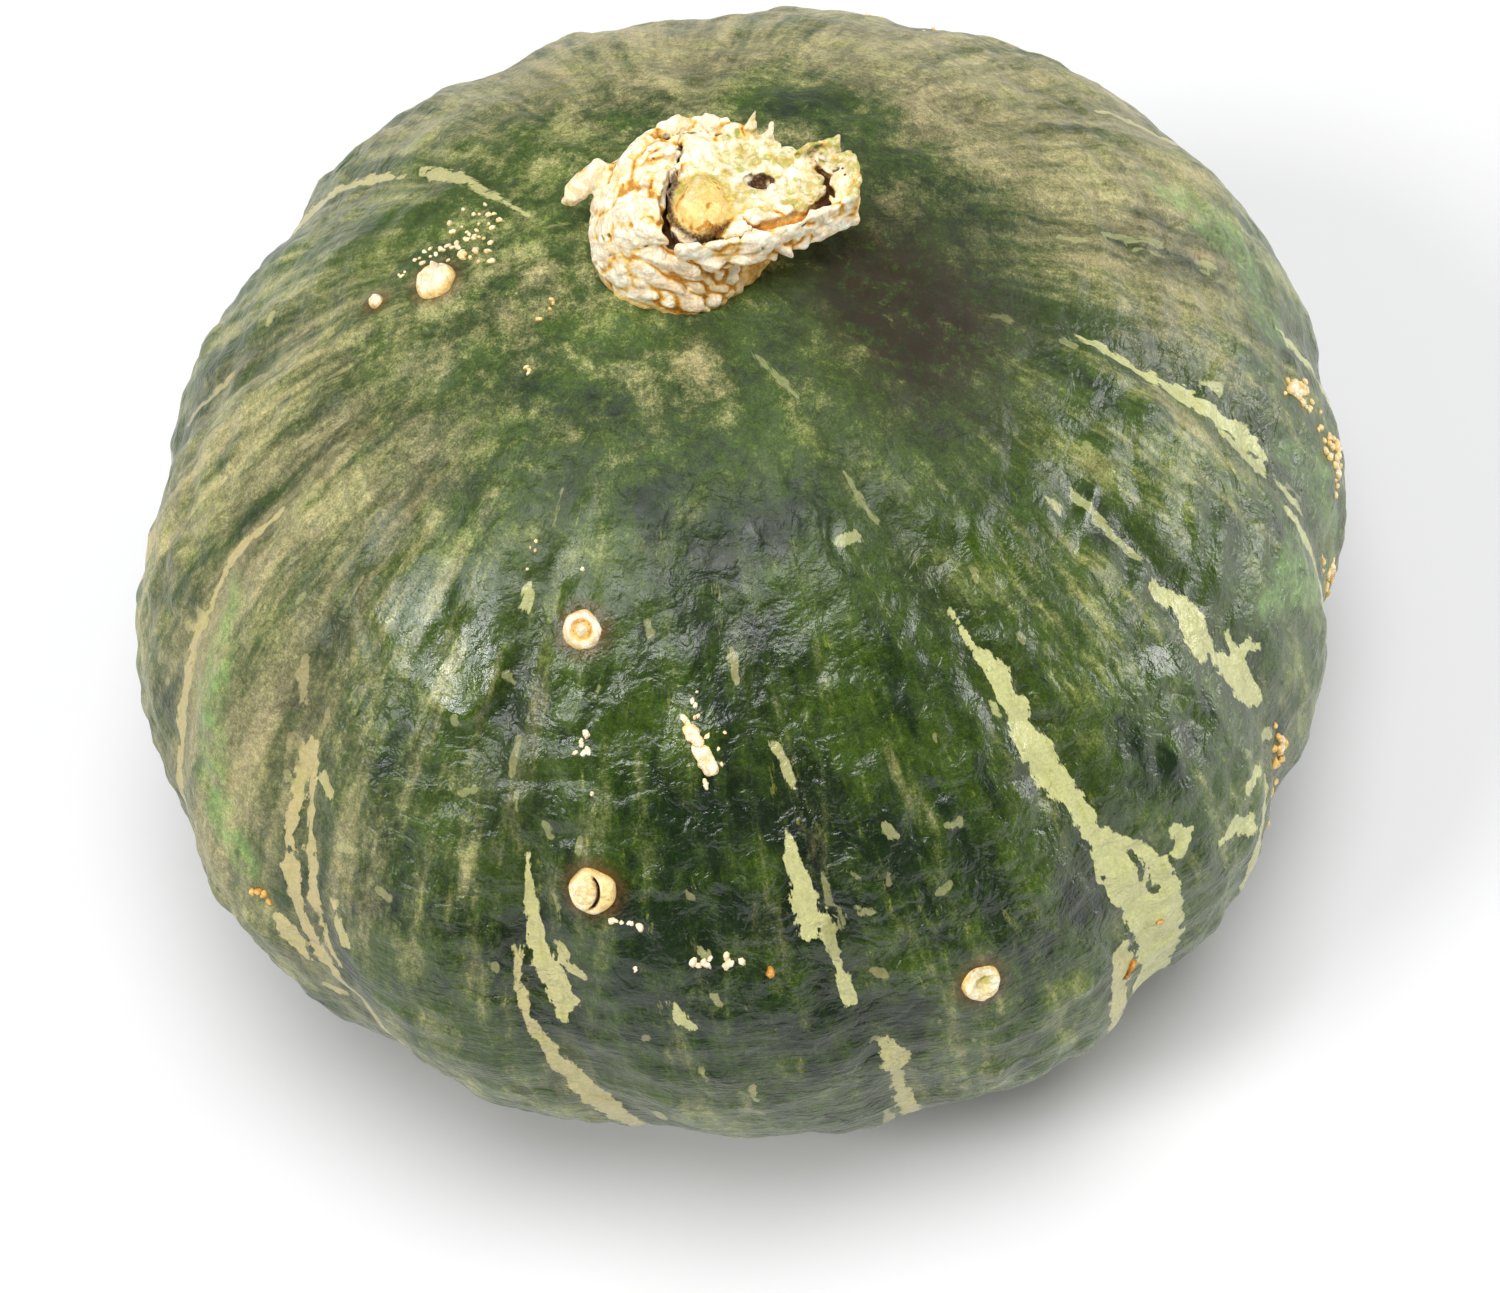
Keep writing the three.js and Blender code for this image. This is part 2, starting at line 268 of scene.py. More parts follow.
# Each mark is its tint, from 0 cream to 1 pale green, and its run of (azimuth, latitude, width in
# mm).
MARKS = [
    # the wide streak on the right of the front, and its side branch
    (0.8, [(36, 47.5, 0.8), (36, 43, 1.2), (36.8, 41, 2.8), (37, 36.5, 2.6), (36.3, 33.5, 3.6),
           (36.8, 29, 3.6), (38, 24.5, 2.6), (38.4, 20.5, 2.6), (38.8, 17, 4.6), (39.4, 13, 4.8),
           (40.2, 9, 5.0), (41.2, 5, 7.0), (41.5, 0, 8.0), (41.4, -5, 7.5), (41, -12, 6.0),
           (40.5, -20, 4.5), (40, -32, 3.0), (39, -46, 1.8)]),
    (0.8, [(40.6, 19, 0.6), (42, 16, 1.3), (43.4, 12, 2.0), (44, 7.5, 2.8), (43.6, 3, 3.0)]),
    (0.5, [(36.6, 3, 3.2), (36.4, -2, 4.6), (35.8, -8, 4.4), (35.6, -15, 3.2), (36, -24, 1.6)]),
    (0.9, [(34.2, 38.4, 1.4), (34.3, 37.5, 1.0)]),
    (0.9, [(46.4, 15.4, 1.4), (47.2, 13.4, 2.2), (46.2, 11.8, 1.8), (44.8, 12.4, 1.0)]),
    (0.9, [(51, 7.5, 1.4), (53.5, 6.5, 2.4), (55.5, 3.5, 2.0), (56.6, 0.5, 1.4)]),
    # the broken streak to its right
    (0.9, [(59, 48.4, 1.4), (59.4, 47, 1.0)]),
    (0.9, [(63.4, 46, 1.1), (63.2, 43.5, 1.3), (62.8, 40, 1.0), (63.2, 36.5, 1.1)]),
    (0.8, [(61.8, 34.4, 1.8), (62.6, 31.4, 2.6), (62.4, 28.4, 4.6), (61, 25.8, 3.2)]),
    (0.8, [(63, 27, 2.0), (62.4, 23.5, 2.2), (63.2, 20, 4.2), (64, 16.5, 5.0), (65, 12.8, 2.0)]),
    (0.9, [(66, 22.8, 1.0), (65.6, 20, 1.6), (67.2, 19.2, 1.8), (68.2, 17.8, 1.0)]),
    (0.9, [(56.6, 8.6, 1.8), (58.4, 7.8, 2.2), (60, 7, 1.6)]),
    (0.9, [(63.5, 7.4, 1.2), (64.6, 6.2, 1.4)]),
    (0.6, [(61.2, 3.2, 1.0), (57.4, -4, 2.6), (56.4, -10, 3.6), (56.8, -18, 2.2)]),
    # the long streak on the right shoulder
    (0.9, [(84.4, 60, 0.8), (85.2, 58, 0.8)]),
    (0.9, [(85.2, 52.6, 0.9), (85.2, 51.4, 0.8)]),
    (0.9, [(87.3, 51, 0.7), (87.5, 47.5, 1.5), (87.3, 43, 1.3), (87.8, 39.5, 2.2),
           (88.2, 35.5, 2.2), (88.1, 31, 2.0), (88.7, 27.5, 2.8), (88.6, 24.8, 1.6)]),
    (0.9, [(86.2, 31.5, 0.8), (86.3, 27.5, 1.6), (86.6, 23, 1.2), (86.6, 18.5, 1.2),
           (86.8, 15, 1.0)]),
    (0.9, [(88, 19.2, 0.8), (87.9, 15.5, 0.8)]),
    (0.9, [(84.3, 20, 1.2), (84.2, 16, 1.8), (84.4, 12.5, 1.6), (84.2, 8, 0.9), (83.8, 0, 2.0),
           (83, -10, 2.4), (82.5, -22, 1.6)]),
    (0.9, [(85.4, 43.2, 0.5), (85.6, 41.4, 0.6)]),
    (0.9, [(91, 36.4, 0.9), (91.2, 34, 1.4)]),
    (1.0, [(80, 36.6, 1.1), (80.2, 35.2, 0.9)]),
    # thin pair further round the right
    (1.0, [(105.2, 53.6, 0.5), (105.6, 50.5, 0.7)]),
    (1.0, [(107.2, 48.4, 0.6), (108.2, 44.5, 0.8), (108.6, 41, 0.5)]),
    (1.0, [(106.2, 45.2, 0.5), (106.8, 40.6, 0.6)]),
    (1.0, [(108.2, 36, 0.6), (108.2, 33.6, 1.1)]),
    (1.0, [(105.3, 22.6, 1.0), (105.5, 19, 1.6), (105, 15, 1.2), (104.6, 6, 2.0), (104, -8, 2.2)]),
    # the front, just right of the middle
    (0.3, [(4, 50.8, 0.9), (4.2, 48, 1.2)]),
    (0.6, [(7.4, 42.4, 0.7), (8.4, 40, 1.5), (8.8, 38.2, 0.8)]),
    (0.7, [(7, 33.8, 0.5), (7.3, 31.5, 1.6), (7.6, 28, 2.6), (7.8, 25, 3.0), (7.6, 23.4, 2.6)]),
    (0.7, [(9.9, 29.4, 0.5), (10, 26.2, 0.9)]),
    (0.7, [(10.8, 25.2, 0.5), (10.9, 23.2, 0.6)]),
    (0.6, [(9.2, 23.6, 1.4), (9.4, 20.6, 1.4)]),
    (0.7, [(9.5, 19.6, 1.3), (9.6, 16.5, 1.5), (9.9, 14, 1.9)]),
    (0.4, [(12.2, 6, 2.0), (12.4, 3.4, 3.2), (12.9, 0.8, 3.0)]),
    (0.4, [(12.7, -1, 1.1), (12.6, -6, 1.6), (12.8, -11, 2.2), (13.4, -18, 2.4), (13.6, -30, 2.0),
           (13, -46, 1.2)]),
    (0.4, [(10.8, -11.5, 0.8), (10.9, -18, 1.4), (11, -28, 1.0)]),
    (0.8, [(17.4, 33.4, 1.0), (18, 32, 1.2)]),
    (0.8, [(12.6, 29.4, 0.7), (13.4, 28.6, 0.8)]),
    (0.8, [(12.8, 25, 1.1), (14, 24.8, 1.0)]),
    (0.8, [(23.8, 31, 1.1), (25.2, 31.2, 0.9)]),
    (0.9, [(20.8, 25, 0.8), (21.9, 25.4, 0.8)]),
    (0.1, [(12.8, 17.6, 0.8), (13.8, 16.8, 1.0)]),
    (0.8, [(25, 58, 0.9), (28.6, 57.8, 1.3)]),
    (1.0, [(28, 77, 0.3), (31, 74.3, 0.7), (33.4, 70.4, 0.6)]),
    (1.0, [(32.8, 62.6, 0.6), (33.4, 57.4, 0.7)]),
    # the front, left of the middle
    (0.4, [(-26.8, 63.2, 0.3), (-25.9, 60.2, 0.4)]),
    (0.8, [(-26.5, 54, 1.5), (-26, 52.8, 1.2)]),
    (0.8, [(-25.8, 46.6, 0.9), (-25, 46, 0.8)]),
    (0.5, [(-22.8, 41.4, 0.5), (-22.7, 38, 0.7)]),
    (0.5, [(-21.7, 36.4, 0.4), (-21.6, 34.8, 0.5)]),
    (0.5, [(-20, 30.4, 0.3), (-19.6, 27, 0.9), (-19.4, 23.5, 1.6), (-18.8, 20, 2.0),
           (-17.6, 16.8, 3.4), (-16.6, 14, 3.4), (-17, 11, 1.6)]),
    (0.2, [(-20.8, 19.6, 0.5), (-20.4, 15, 1.1), (-20, 10, 1.2), (-19, 6.5, 1.4), (-17.8, 2.5, 2.6),
           (-16.6, -2, 3.2), (-15.6, -6.5, 3.6), (-14.8, -11, 3.4), (-14, -20, 2.6),
           (-13.4, -34, 1.8), (-12.8, -48, 1.0)]),
    (0.4, [(-16.4, 21, 1.5), (-15.8, 19, 1.7), (-14.4, 18, 1.0)]),
    (0.7, [(-6.4, 16.4, 1.0), (-5.4, 14.2, 1.8), (-4.8, 13.2, 1.2)]),
    (0.7, [(-3.8, 23.6, 1.0), (-2.4, 22, 1.2)]),
    (0.6, [(-2.4, 18, 1.0), (-2, 16.6, 1.2)]),
    (0.8, [(-22.6, 17.4, 1.0), (-22.2, 16.2, 0.9)]),
    (0.8, [(-18.4, 34, 0.8), (-18, 33, 0.8)]),
    (0.8, [(-27.4, 35.4, 0.8), (-26.4, 36, 0.7)]),
    (0.6, [(-33.6, 22.8, 0.9), (-32.6, 22.4, 0.8)]),
    (0.6, [(-38.4, 24.6, 1.1), (-37.2, 25.2, 1.1)]),
    (0.7, [(-7.8, 54, 0.8), (-7.4, 52.8, 0.8)]),
    (0.3, [(-0.6, 2, 1.1), (-0.4, -0.6, 1.3)]),
    (0.3, [(-10, -8.5, 1.4), (-10.2, -11, 1.4)]),
    # the double streak on the left
    (0.1, [(-49.6, 38.8, 0.8), (-48.8, 36.8, 1.3), (-47.4, 34.6, 0.9)]),
    (0.0, [(-44.6, 36.2, 0.7), (-44, 34.4, 1.0)]),
    (0.0, [(-44.6, 32.4, 1.2), (-44.8, 30.4, 3.0), (-45.2, 27.5, 1.6), (-44.6, 22.5, 1.6),
           (-44, 18.5, 1.9), (-43.6, 15.5, 2.4), (-42.4, 11.5, 1.8), (-41, 8, 1.8),
           (-39.8, 5, 2.2), (-38, 2.4, 1.8), (-36.4, 0, 1.4), (-34.8, -8, 2.2),
           (-33.6, -20, 2.4), (-32.6, -36, 1.4)]),
    (0.0, [(-46.4, 31.4, 0.5), (-46, 28.6, 0.8)]),
    (0.0, [(-43.6, 28.4, 0.6), (-42.4, 24, 1.0), (-41.4, 20, 1.6), (-40.8, 16.5, 2.0),
           (-40.2, 13, 1.1), (-39, 9, 0.7), (-38, 6, 0.4)]),
    (0.3, [(-42.2, 30, 1.4), (-41, 29.4, 1.6)]),
    (0.0, [(-47.8, 31, 0.8), (-47.2, 29.8, 0.9)]),
    (0.2, [(-38.4, 17.4, 0.7), (-37.6, 15.6, 1.2), (-36.8, 13, 1.9)]),
    (0.1, [(-44.6, 8, 1.8), (-43.4, 6, 3.2), (-42, 3.8, 1.6)]),
    (0.1, [(-41, -1.6, 1.6), (-39.6, -2, 2.0)]),
    (0.0, [(-48.8, 48, 0.3), (-48.4, 45, 0.4)]),
    # the long cream streak round the left flank
    (0.0, [(-65, 45, 0.5), (-65.4, 41.5, 1.1), (-65.9, 38, 1.4), (-65.5, 34.6, 0.8),
           (-65, 31.5, 0.9), (-64.6, 28.5, 1.9), (-63.6, 23.5, 1.8), (-62.4, 17.5, 2.0),
           (-61.2, 12, 1.8), (-60, 6, 1.8), (-58.4, 0, 2.2), (-57, -9, 2.4), (-55.6, -22, 2.0),
           (-54.4, -38, 1.2)]),
    (0.0, [(-66, 30.6, 0.4), (-66, 27, 1.2)]),
    (0.1, [(-70.4, 51.4, 0.4), (-71, 48.6, 0.6)]),
    (0.2, [(-73.4, 37.2, 0.7), (-72.2, 38.4, 0.6)]),
    # further round the left
    (0.1, [(-80.4, 38.6, 0.4), (-80.4, 34.5, 0.7), (-81, 31, 0.9)]),
    (0.0, [(-83.2, 26, 1.2), (-82, 27.4, 1.4)]),
    (0.0, [(-80.4, 22.6, 1.6), (-81, 19.4, 2.6), (-81.4, 13, 2.2), (-80, 2, 2.4),
           (-78.6, -14, 2.0)]),
    (0.1, [(-91.8, 36.2, 1.2), (-91.8, 32.6, 1.5), (-91.4, 26, 1.2)]),
    (0.4, [(-97.4, 42.4, 1.3), (-95.8, 42, 1.0)]),
    (0.4, [(-85.4, 62.4, 0.5), (-85.4, 59.4, 0.6)]),
    (0.3, [(-87.2, 53.6, 0.9), (-87.6, 51.8, 1.1)]),
    (0.3, [(-84, 51.2, 0.9), (-83.8, 50.4, 0.7)]),
    (0.3, [(-78.2, 56.4, 0.3), (-78.4, 53.6, 0.5)]),
    (0.5, [(-111, 72, 0.4), (-115, 68.6, 0.7), (-118, 65, 1.0), (-120.2, 61, 1.4),
           (-121.8, 57, 1.6), (-122.4, 54, 1.2)]),
    (0.3, [(-121, 51.4, 0.8), (-121.6, 46.5, 1.3),
           (-121.5, 42, 1.6), (-120.6, 37, 2.2), (-120, 28, 2.6), (-119.2, 16, 2.6),
           (-118.6, 2, 2.2), (-118, -14, 1.8)]),
    (0.3, [(-115.8, 54.8, 1.2), (-116.2, 53.8, 1.0)]),
    (0.4, [(-109.4, 77, 0.3), (-106.2, 74.8, 0.4)]),
    # sparse marks on the back
    (0.5, [(131, 38, 0.6), (130.6, 30, 1.4), (130.2, 22, 2.2), (129.8, 12, 1.6)]),
    (0.5, [(129.6, 8, 1.4), (129.6, -2, 2.6), (129, -16, 1.8)]),
    (0.3, [(156, 30, 0.5), (155.6, 22, 1.3), (155.2, 12, 2.0), (154.8, 0, 2.8),
           (154.6, -14, 2.0)]),
    (0.4, [(158.2, 14, 0.7), (157.4, 4, 1.2)]),
    (0.3, [(-178, 34, 0.6), (-178.2, 26, 1.6), (-178.2, 20, 1.0)]),
    (0.3, [(-178, 14, 1.2), (-177.8, 4, 2.6), (-177.6, -10, 2.0), (-177.4, -22, 1.2)]),
    (0.2, [(-151, 36, 0.6), (-150.6, 27, 1.5), (-150.2, 16, 2.2), (-150, 8, 1.2)]),
    (0.2, [(-149.8, 2, 1.6), (-149.4, -10, 2.6), (-149, -24, 1.6)]),
    (0.3, [(-94, 16, 1.0), (-92, 6, 1.8), (-90.4, -6, 2.2), (-89.4, -20, 1.4)]),
]

MARK_SPREAD = 1.25  # how much wider a mark is than its run, since its ragged edge eats into it
MARK_REACH = 9.0  # mm from a mark within which its distance is worked out

# Dark gaps inside the wide streak: (azimuth, latitude, width), as runs.
GAPS = [
    [(41.2, 13.4, 0.7), (41.6, 11.4, 1.2), (42.4, 8.8, 1.0)],
    [(38.4, 4.6, 0.7), (38.6, 0, 1.1), (38.6, -5, 1.1), (38.8, -10, 0.8)],
    [(37.2, 15, 0.6), (37.6, 14.6, 0.7)],
]

# Small flecks fall at random round the grooves: how many in all, and how far out in degrees.
FLECK_COUNT = 130
FLECK_SPREAD = 9.0
FLECK_SEED = 23


def run_points(run):
    """A run's points on the skin in mm, and its half widths."""
    azimuth, latitude, width = np.array(run, float).T
    return skin_points(azimuth, latitude), width / 2 * MARK_SPREAD


def segments(points, nodes, halves):
    """For each segment of a run: its direction, then for each point how far past its ends it
    lies, as a share of its length, the offset from it, and its half width there."""
    for start, end, low, high in zip(nodes, nodes[1:], halves, halves[1:]):
        along = end - start
        free = (points - start) @ along / (along @ along)
        share = np.clip(free, 0.0, 1.0)
        offset = points - start - share[:, None] * along
        yield along, np.abs(free - share), offset, low + share * (high - low)


def strip_to_run(points, run):
    """The distance in mm from each point to the edge of a run, negative inside it, and where the
    point lies against the run, in mm: signed sideways offset, overrun past its ends and half
    width. The edge is where the length of the first two equals the third."""
    best = np.full(len(points), np.inf)
    strip = np.zeros((len(points), 3))
    outwards = points / np.linalg.norm(points, axis=1, keepdims=True)
    for along, past, offset, half in segments(points, *run_points(run)):
        gap = np.linalg.norm(offset, axis=1)
        overrun = past * np.linalg.norm(along)
        side = np.sign((np.cross(outwards, along) * offset).sum(axis=1))
        sideways = side * np.sqrt(np.maximum(gap**2 - overrun**2, 0.0))
        closer = gap - half < best
        best[closer] = (gap - half)[closer]
        strip[closer] = np.stack([sideways, overrun, half], axis=1)[closer]
    return best, strip


def near_run(points, run, reach):
    """Which points can be within reach of a run: a cheap test before the exact one."""
    nodes, _ = run_points(run)
    low, high = nodes.min(axis=0) - reach, nodes.max(axis=0) + reach
    return np.flatnonzero(((points > low) & (points < high)).all(axis=1))


def random_flecks():
    """Short pale flecks scattered along the grooves, the same on each run."""
    rng = np.random.default_rng(FLECK_SEED)
    flecks = []
    for _ in range(FLECK_COUNT):
        groove = GROOVES[rng.integers(len(GROOVES))]
        latitude = rng.uniform(-55, 52)
        azimuth = groove_azimuth(groove, latitude) + rng.normal(0, FLECK_SPREAD)
        length = rng.uniform(0.3, 1.4)
        width = rng.uniform(0.3, 0.8)
        slant = rng.normal(0, 0.4)
        run = [(azimuth, latitude, width), (azimuth + slant, latitude - length, width)]
        flecks.append((rng.uniform(0.2, 1.0), run))
    return flecks


def mark_fields(points):
    """The nearest pale mark at each point: distance to its edge, strip place, tint, boldness."""
    distance = np.full(len(points), MARK_REACH)
    strip = np.tile([MARK_REACH, 0.0, 0.0], (len(points), 1))
    tint = np.zeros(len(points))
    bold = np.zeros(len(points))
    listed = [(mark_tint, 1.0, run) for mark_tint, run in MARKS]
    scattered = [(mark_tint, 0.0, run) for mark_tint, run in random_flecks()]
    for mark_tint, strength, run in listed + scattered:
        near = near_run(points, run, MARK_REACH)
        found, place = strip_to_run(points[near], run)
        closer = found < distance[near]
        chosen = near[closer]
        distance[chosen] = found[closer]
        strip[chosen] = place[closer]
        tint[chosen] = mark_tint
        widest = max(width for _, _, width in run)
        bold[chosen] = strength * ramp(np.array(widest), 0.6, 2.2)
    for gap in GAPS:
        near = near_run(points, gap, MARK_REACH)
        distance[near] = np.maximum(distance[near], -strip_to_run(points[near], gap)[0])
    return distance, strip, tint, bold


# ---- Broad changes of colour over the skin --------------------------------------------------

# Each patch: azimuth, latitude, half width in azimuth and in latitude (degrees), weight.
DARK_PATCHES = [
    (0, 30, 24, 22, 0.9),
    (8, 28, 12, 8, 0.35),
    (22, 24, 22, 20, 0.22),
    (30, 18, 50, 8, 0.42),
    (-10, 10, 24, 12, 0.3),
    (60, 26, 16, 7, 0.3),
    (98, 24, 12, 10, 0.3),
    (-34, 20, 10, 12, 0.55),
    (82, 67, 28, 10, 1.0),
    (-10, 65, 14, 7, 0.5),
    (-22, 74, 12, 7, 0.5),
    (10, 60, 20, 14, 0.4),
    (118, 62, 10, 14, 0.35),
    (144, 66, 20, 8, 0.7),
    (178, 60, 14, 10, 0.25),
    (-62, 66, 14, 10, 0.2),
]
# Dust, and in places painted sheen. A weight below zero thins it out.
DUST_AND_SHEEN_PATCHES = [
    (180, 46, 52, 26, 1.4),
    (132, 50, 18, 22, 1.3),
    (106, 46, 14, 18, 0.9),
    (142, 66, 24, 6, -0.9),
    (108, 60, 10, 8, -0.3),
    (78, 40, 12, 12, 0.3),
    # painted sheen where gloss alone lightens the skin
    (50, 43, 9, 9, 0.55),
    (60, 62, 26, 12, 0.12),
    (-84, 52, 28, 20, 0.42),
    (-70, 76, 26, 8, 0.6),
    (-50, 54, 16, 10, 0.55),
    (-54, 34, 14, 22, 0.4),
    (-76, 30, 24, 24, 0.66),
    (-58, 6, 16, 18, 0.6),
    (-40, 16, 12, 20, 0.2),
    (0, 76, 26, 7, 0.6),
    (-30, 34, 10, 16, 0.3),
    (-20, -4, 40, 12, 0.3),
]
UMBER_PATCHES = [
    (76, 67, 25, 10, 1.3),
    (106, 75, 24, 6, 0.6),
    (-52, 30, 5, 14, 0.3),
    (-66, 56, 16, 8, 0.2),
    (8, 78, 18, 4, 0.3),
]
VIVID_REACH = 20.0  # mm from a bright streak within which its distance is worked out
# Bright green streaks, as runs of (azimuth, latitude, width in mm).
VIVID_RUNS = [
    [(-63, 36, 3.0), (-59.5, 31, 5.0), (-56, 23, 6.0), (-52.5, 17, 5.0), (-48.5, 13.5, 3.5)],
    [(72, 20, 3.0), (79, 17, 8.0), (82, 9, 7.0)],
    [(118, 40, 4.0), (114, 30, 9.0), (106, 24, 8.0)],
    [(91, 22, 3.0), (92, 12, 7.0), (90, -4, 6.0)],
]
WARTS = [  # corky knobs: azimuth, latitude, diameter and height in mm, form
    (-17, 52.5, 5.6, 1.3, "ringed"),
    (-13, 29, 6.5, 1.3, "split"),
    (22, 13, 5.8, 1.5, "cupped"),
    (-89, 65, 6.0, 1.9, "knobbed"),
    (-89, 58.5, 2.2, 0.9, "plain"),
]
RUST_WIDTH = 1.3  # mm of brown bruise round each corky knob


def patch_weight(azimuth, latitude, patches):
    """The sum of soft oval patches, held to 0..1."""
    weight = 0.0
    for middle, level, wide, high, share in patches:
        across = turn_between(middle, azimuth) / wide
        upwards = (latitude - level) / high
        weight = weight + share * np.exp(-(across**2) - upwards**2)
    return np.clip(weight, 0.0, 1.0)


def vivid_weight(points):
    """1 inside the bright green streaks."""
    weight = np.zeros(len(points))
    for run in VIVID_RUNS:
        near = near_run(points, run, VIVID_REACH)
        inside = ramp(strip_to_run(points[near], run)[0], 1.6, -1.2)
        weight[near] = np.maximum(weight[near], inside)
    return weight


def rust_weight(points):
    """1 on the corky knobs and at their edge, and less outwards over the bruise."""
    weight = np.zeros(len(points))
    for azimuth, latitude, diameter, _, _ in WARTS:
        middle = skin_points([azimuth], [latitude])[0]
        gap = np.linalg.norm(points - middle, axis=1) - diameter / 2
        weight = np.maximum(weight, bell(np.maximum(gap, 0.0), RUST_WIDTH))
    return weight


def skin_axes(azimuth, latitude):
    """A point on the smooth skin, with the directions right, along the rib and outwards."""
    turns = [azimuth, azimuth + 0.5, azimuth]
    here, right, up = skin_points(turns, [latitude, latitude, latitude + 0.5])
    right = (right - here) / np.linalg.norm(right - here)
    out = np.cross(right, up - here)
    out /= np.linalg.norm(out)
    return here, np.array([right, np.cross(out, right), out])


# ---- Relief ---------------------------------------------------------------------------------

RIB_SCALE = 1.5  # about the mm along a rib for each degree of latitude

# Flattish facets between the folds: azimuth, latitude, half sizes round and along the rib in mm,
# and how much their height grows for each mm to the right and up.
FACETS = [
    (-40, 50, 6.0, 7.5, -0.10, 0.01),
    (-31, 47, 6.0, 8.0, 0.11, -0.04),
    (-33, 54, 3.0, 4.5, 0.10, 0.09),
    (-21, 59, 2.6, 6.5, 0.04, 0.14),
    (-49, 52, 4.5, 5.0, -0.14, 0.01),
    (-68, 63, 5.0, 4.5, -0.14, -0.04),
    (9, 58, 1.6, 6.0, 0.14, 0.06),
    (25, 58, 2.2, 4.5, 0.14, -0.11),
    (55, 31, 3.5, 3.5, -0.09, -0.10),
    (61, 44, 7.0, 1.2, 0.11, 0.09),
    (46, 50, 2.5, 5.5, -0.14, 0.14),
]


def facet_relief(points):
    """The facets' heights, and how much of each point lies on one."""
    height, share = np.zeros(len(points)), np.zeros(len(points))
    edge = 0.45 * Noise(15)(points, 6.0)
    for azimuth, latitude, wide, high, right_slope, up_slope in FACETS:
        middle, axes = skin_axes(azimuth, latitude)
        near = np.flatnonzero(np.linalg.norm(points - middle, axis=1) < 2 * (wide + high))
        x, y, _ = ((points[near] - middle) @ axes.T).T
        inside = ramp(-np.hypot(x / wide, y / high) + edge[near], -1.25, -0.8)
        plane = (x**2 + y**2 - 0.5 * wide * high) / (2 * RADIUS) + right_slope * x + up_slope * y
        height[near] += inside * plane
        share[near] = np.maximum(share[near], inside)
    return height, share


def along_ribs(azimuth, latitude):
    """Coordinates in mm, round the fruit and along its ribs, that grain and folds follow."""
    turn = np.radians(azimuth)
    return np.stack([RADIUS * np.cos(turn), RADIUS * np.sin(turn), RIB_SCALE * latitude], axis=-1)


def relief(points, azimuth, latitude):
    """How far the skin stands out from the smooth shape, in mm, and how much of it is a facet."""
    flow = along_ribs(azimuth, latitude)
    belly = ramp(np.abs(latitude - 5), 60, 10)
    shoulder = band(latitude, 12, 34, 66, 80)
    height = 0.7 * Noise(3)(points, 26.0) * (0.5 + 0.5 * belly)
    height += 0.42 * Noise(4)(points, 12.0) * (0.4 + belly)
    height += 0.9 * shoulder * Noise(6)(flow, (15.0, 15.0, 26.0))
    height += 0.22 * shoulder * Noise(7)(flow, (8.0, 8.0, 11.0))
    facet, flat = facet_relief(points)
    height = facet + height * (1 - 0.75 * flat)
    rough = 1 - 0.6 * flat
    wrinkled = 0.4 + 0.6 * ramp(Noise(13)(points, 34.0), -0.25, 0.3)
    height += 1.15 * wrinkled * rough * np.abs(Noise(14)(points, 7.5))
    height += rough * (0.34 * Noise(5)(points, 4.6) + 0.17 * Noise(8)(points, 2.6))
    flank = ramp(latitude, 32, 0)
    height += 0.34 * flank * Noise(9)(points, (16.0, 16.0, 4.6))
    height += 0.14 * flank * Noise(10)(points, (9.0, 9.0, 2.3))
    return height + crown_creases(azimuth, latitude), flat


def crown_creases(azimuth, latitude):
    """Fine ridges that run out from the stem and die away on the shoulder."""
    turn = np.radians(azimuth)
    ring = np.stack([np.cos(turn), np.sin(turn), latitude / 90], axis=-1)
    near_stem = band(latitude, 58, 76, 84, 88)
    coarse = Noise(11)(ring, (0.16, 0.16, 0.9))
    fine = Noise(12)(ring, (0.08, 0.08, 0.4))
    return near_stem * (0.55 * coarse + 0.2 * fine)


# ---- The stem's shape -----------------------------------------------------------------------
# The stem is worked out as a distance field in mm from the crown, negative inside, and then
# wrapped in a mesh.

STEM_CELL = 0.25
STEM_LOW = np.array([-19.5, -12.5, -4.5])
STEM_HIGH = np.array([26.0, 15.5, 19.0])

# The trunk from bottom to top: height, middle in x and y, half width in x and y.
TRUNK = np.array([
    (-4.5, -1.2, 1.8, 11.0, 10.6),
    (-1.0, -1.2, 1.8, 12.2, 11.6),
    (2.5, -1.1, 1.8, 13.0, 12.0),
    (6.0, -0.6, 2.0, 13.2, 11.6),
    (9.0, 1.0, 2.1, 14.3, 10.9),
    (12.0, 4.2, 2.1, 17.0, 10.5),
    (15.0, 5.6, 2.0, 18.4, 10.3),
])
CUT_LEVEL = 14.3
CUT_SLOPE = -0.03
SHOULDER_X = -4.0  # left of this the top is rounded bark, right of it the cut face

# Runs on the cut face: (x, y, half width).
CREVICE = [(-1.0, 5.2, 0.15), (-2.3, 2.6, 0.2), (-2.9, -0.2, 0.35), (-3.1, -3.0, 0.45),
           (-2.8, -5.4, 0.6), (-1.6, -7.2, 0.5), (0.4, -8.0, 0.35), (3.0, -7.9, 0.25),
           (6.0, -7.0, 0.2), (9.4, -6.0, 0.15)]
CRACK = [(-1.0, 5.2, 0.1), (-1.5, 7.4, 0.2), (-0.7, 9.6, 0.1), (-0.4, 10.8, 0.1)]
BACK_LINE = [(-5.4, 8.6, 0.05), (-2.6, 10.3, 0.12), (0.6, 10.9, 0.12), (4.2, 10.7, 0.1),
             (6.8, 10.0, 0.05)]
TRENCH = [(7.6, -3.9, 0.5), (10.0, -5.2, 0.9), (14.0, -4.2, 0.9), (17.2, -2.3, 0.8),
          (19.6, 0.6, 0.7), (19.2, 3.8, 0.6), (17.8, 5.6, 0.3)]
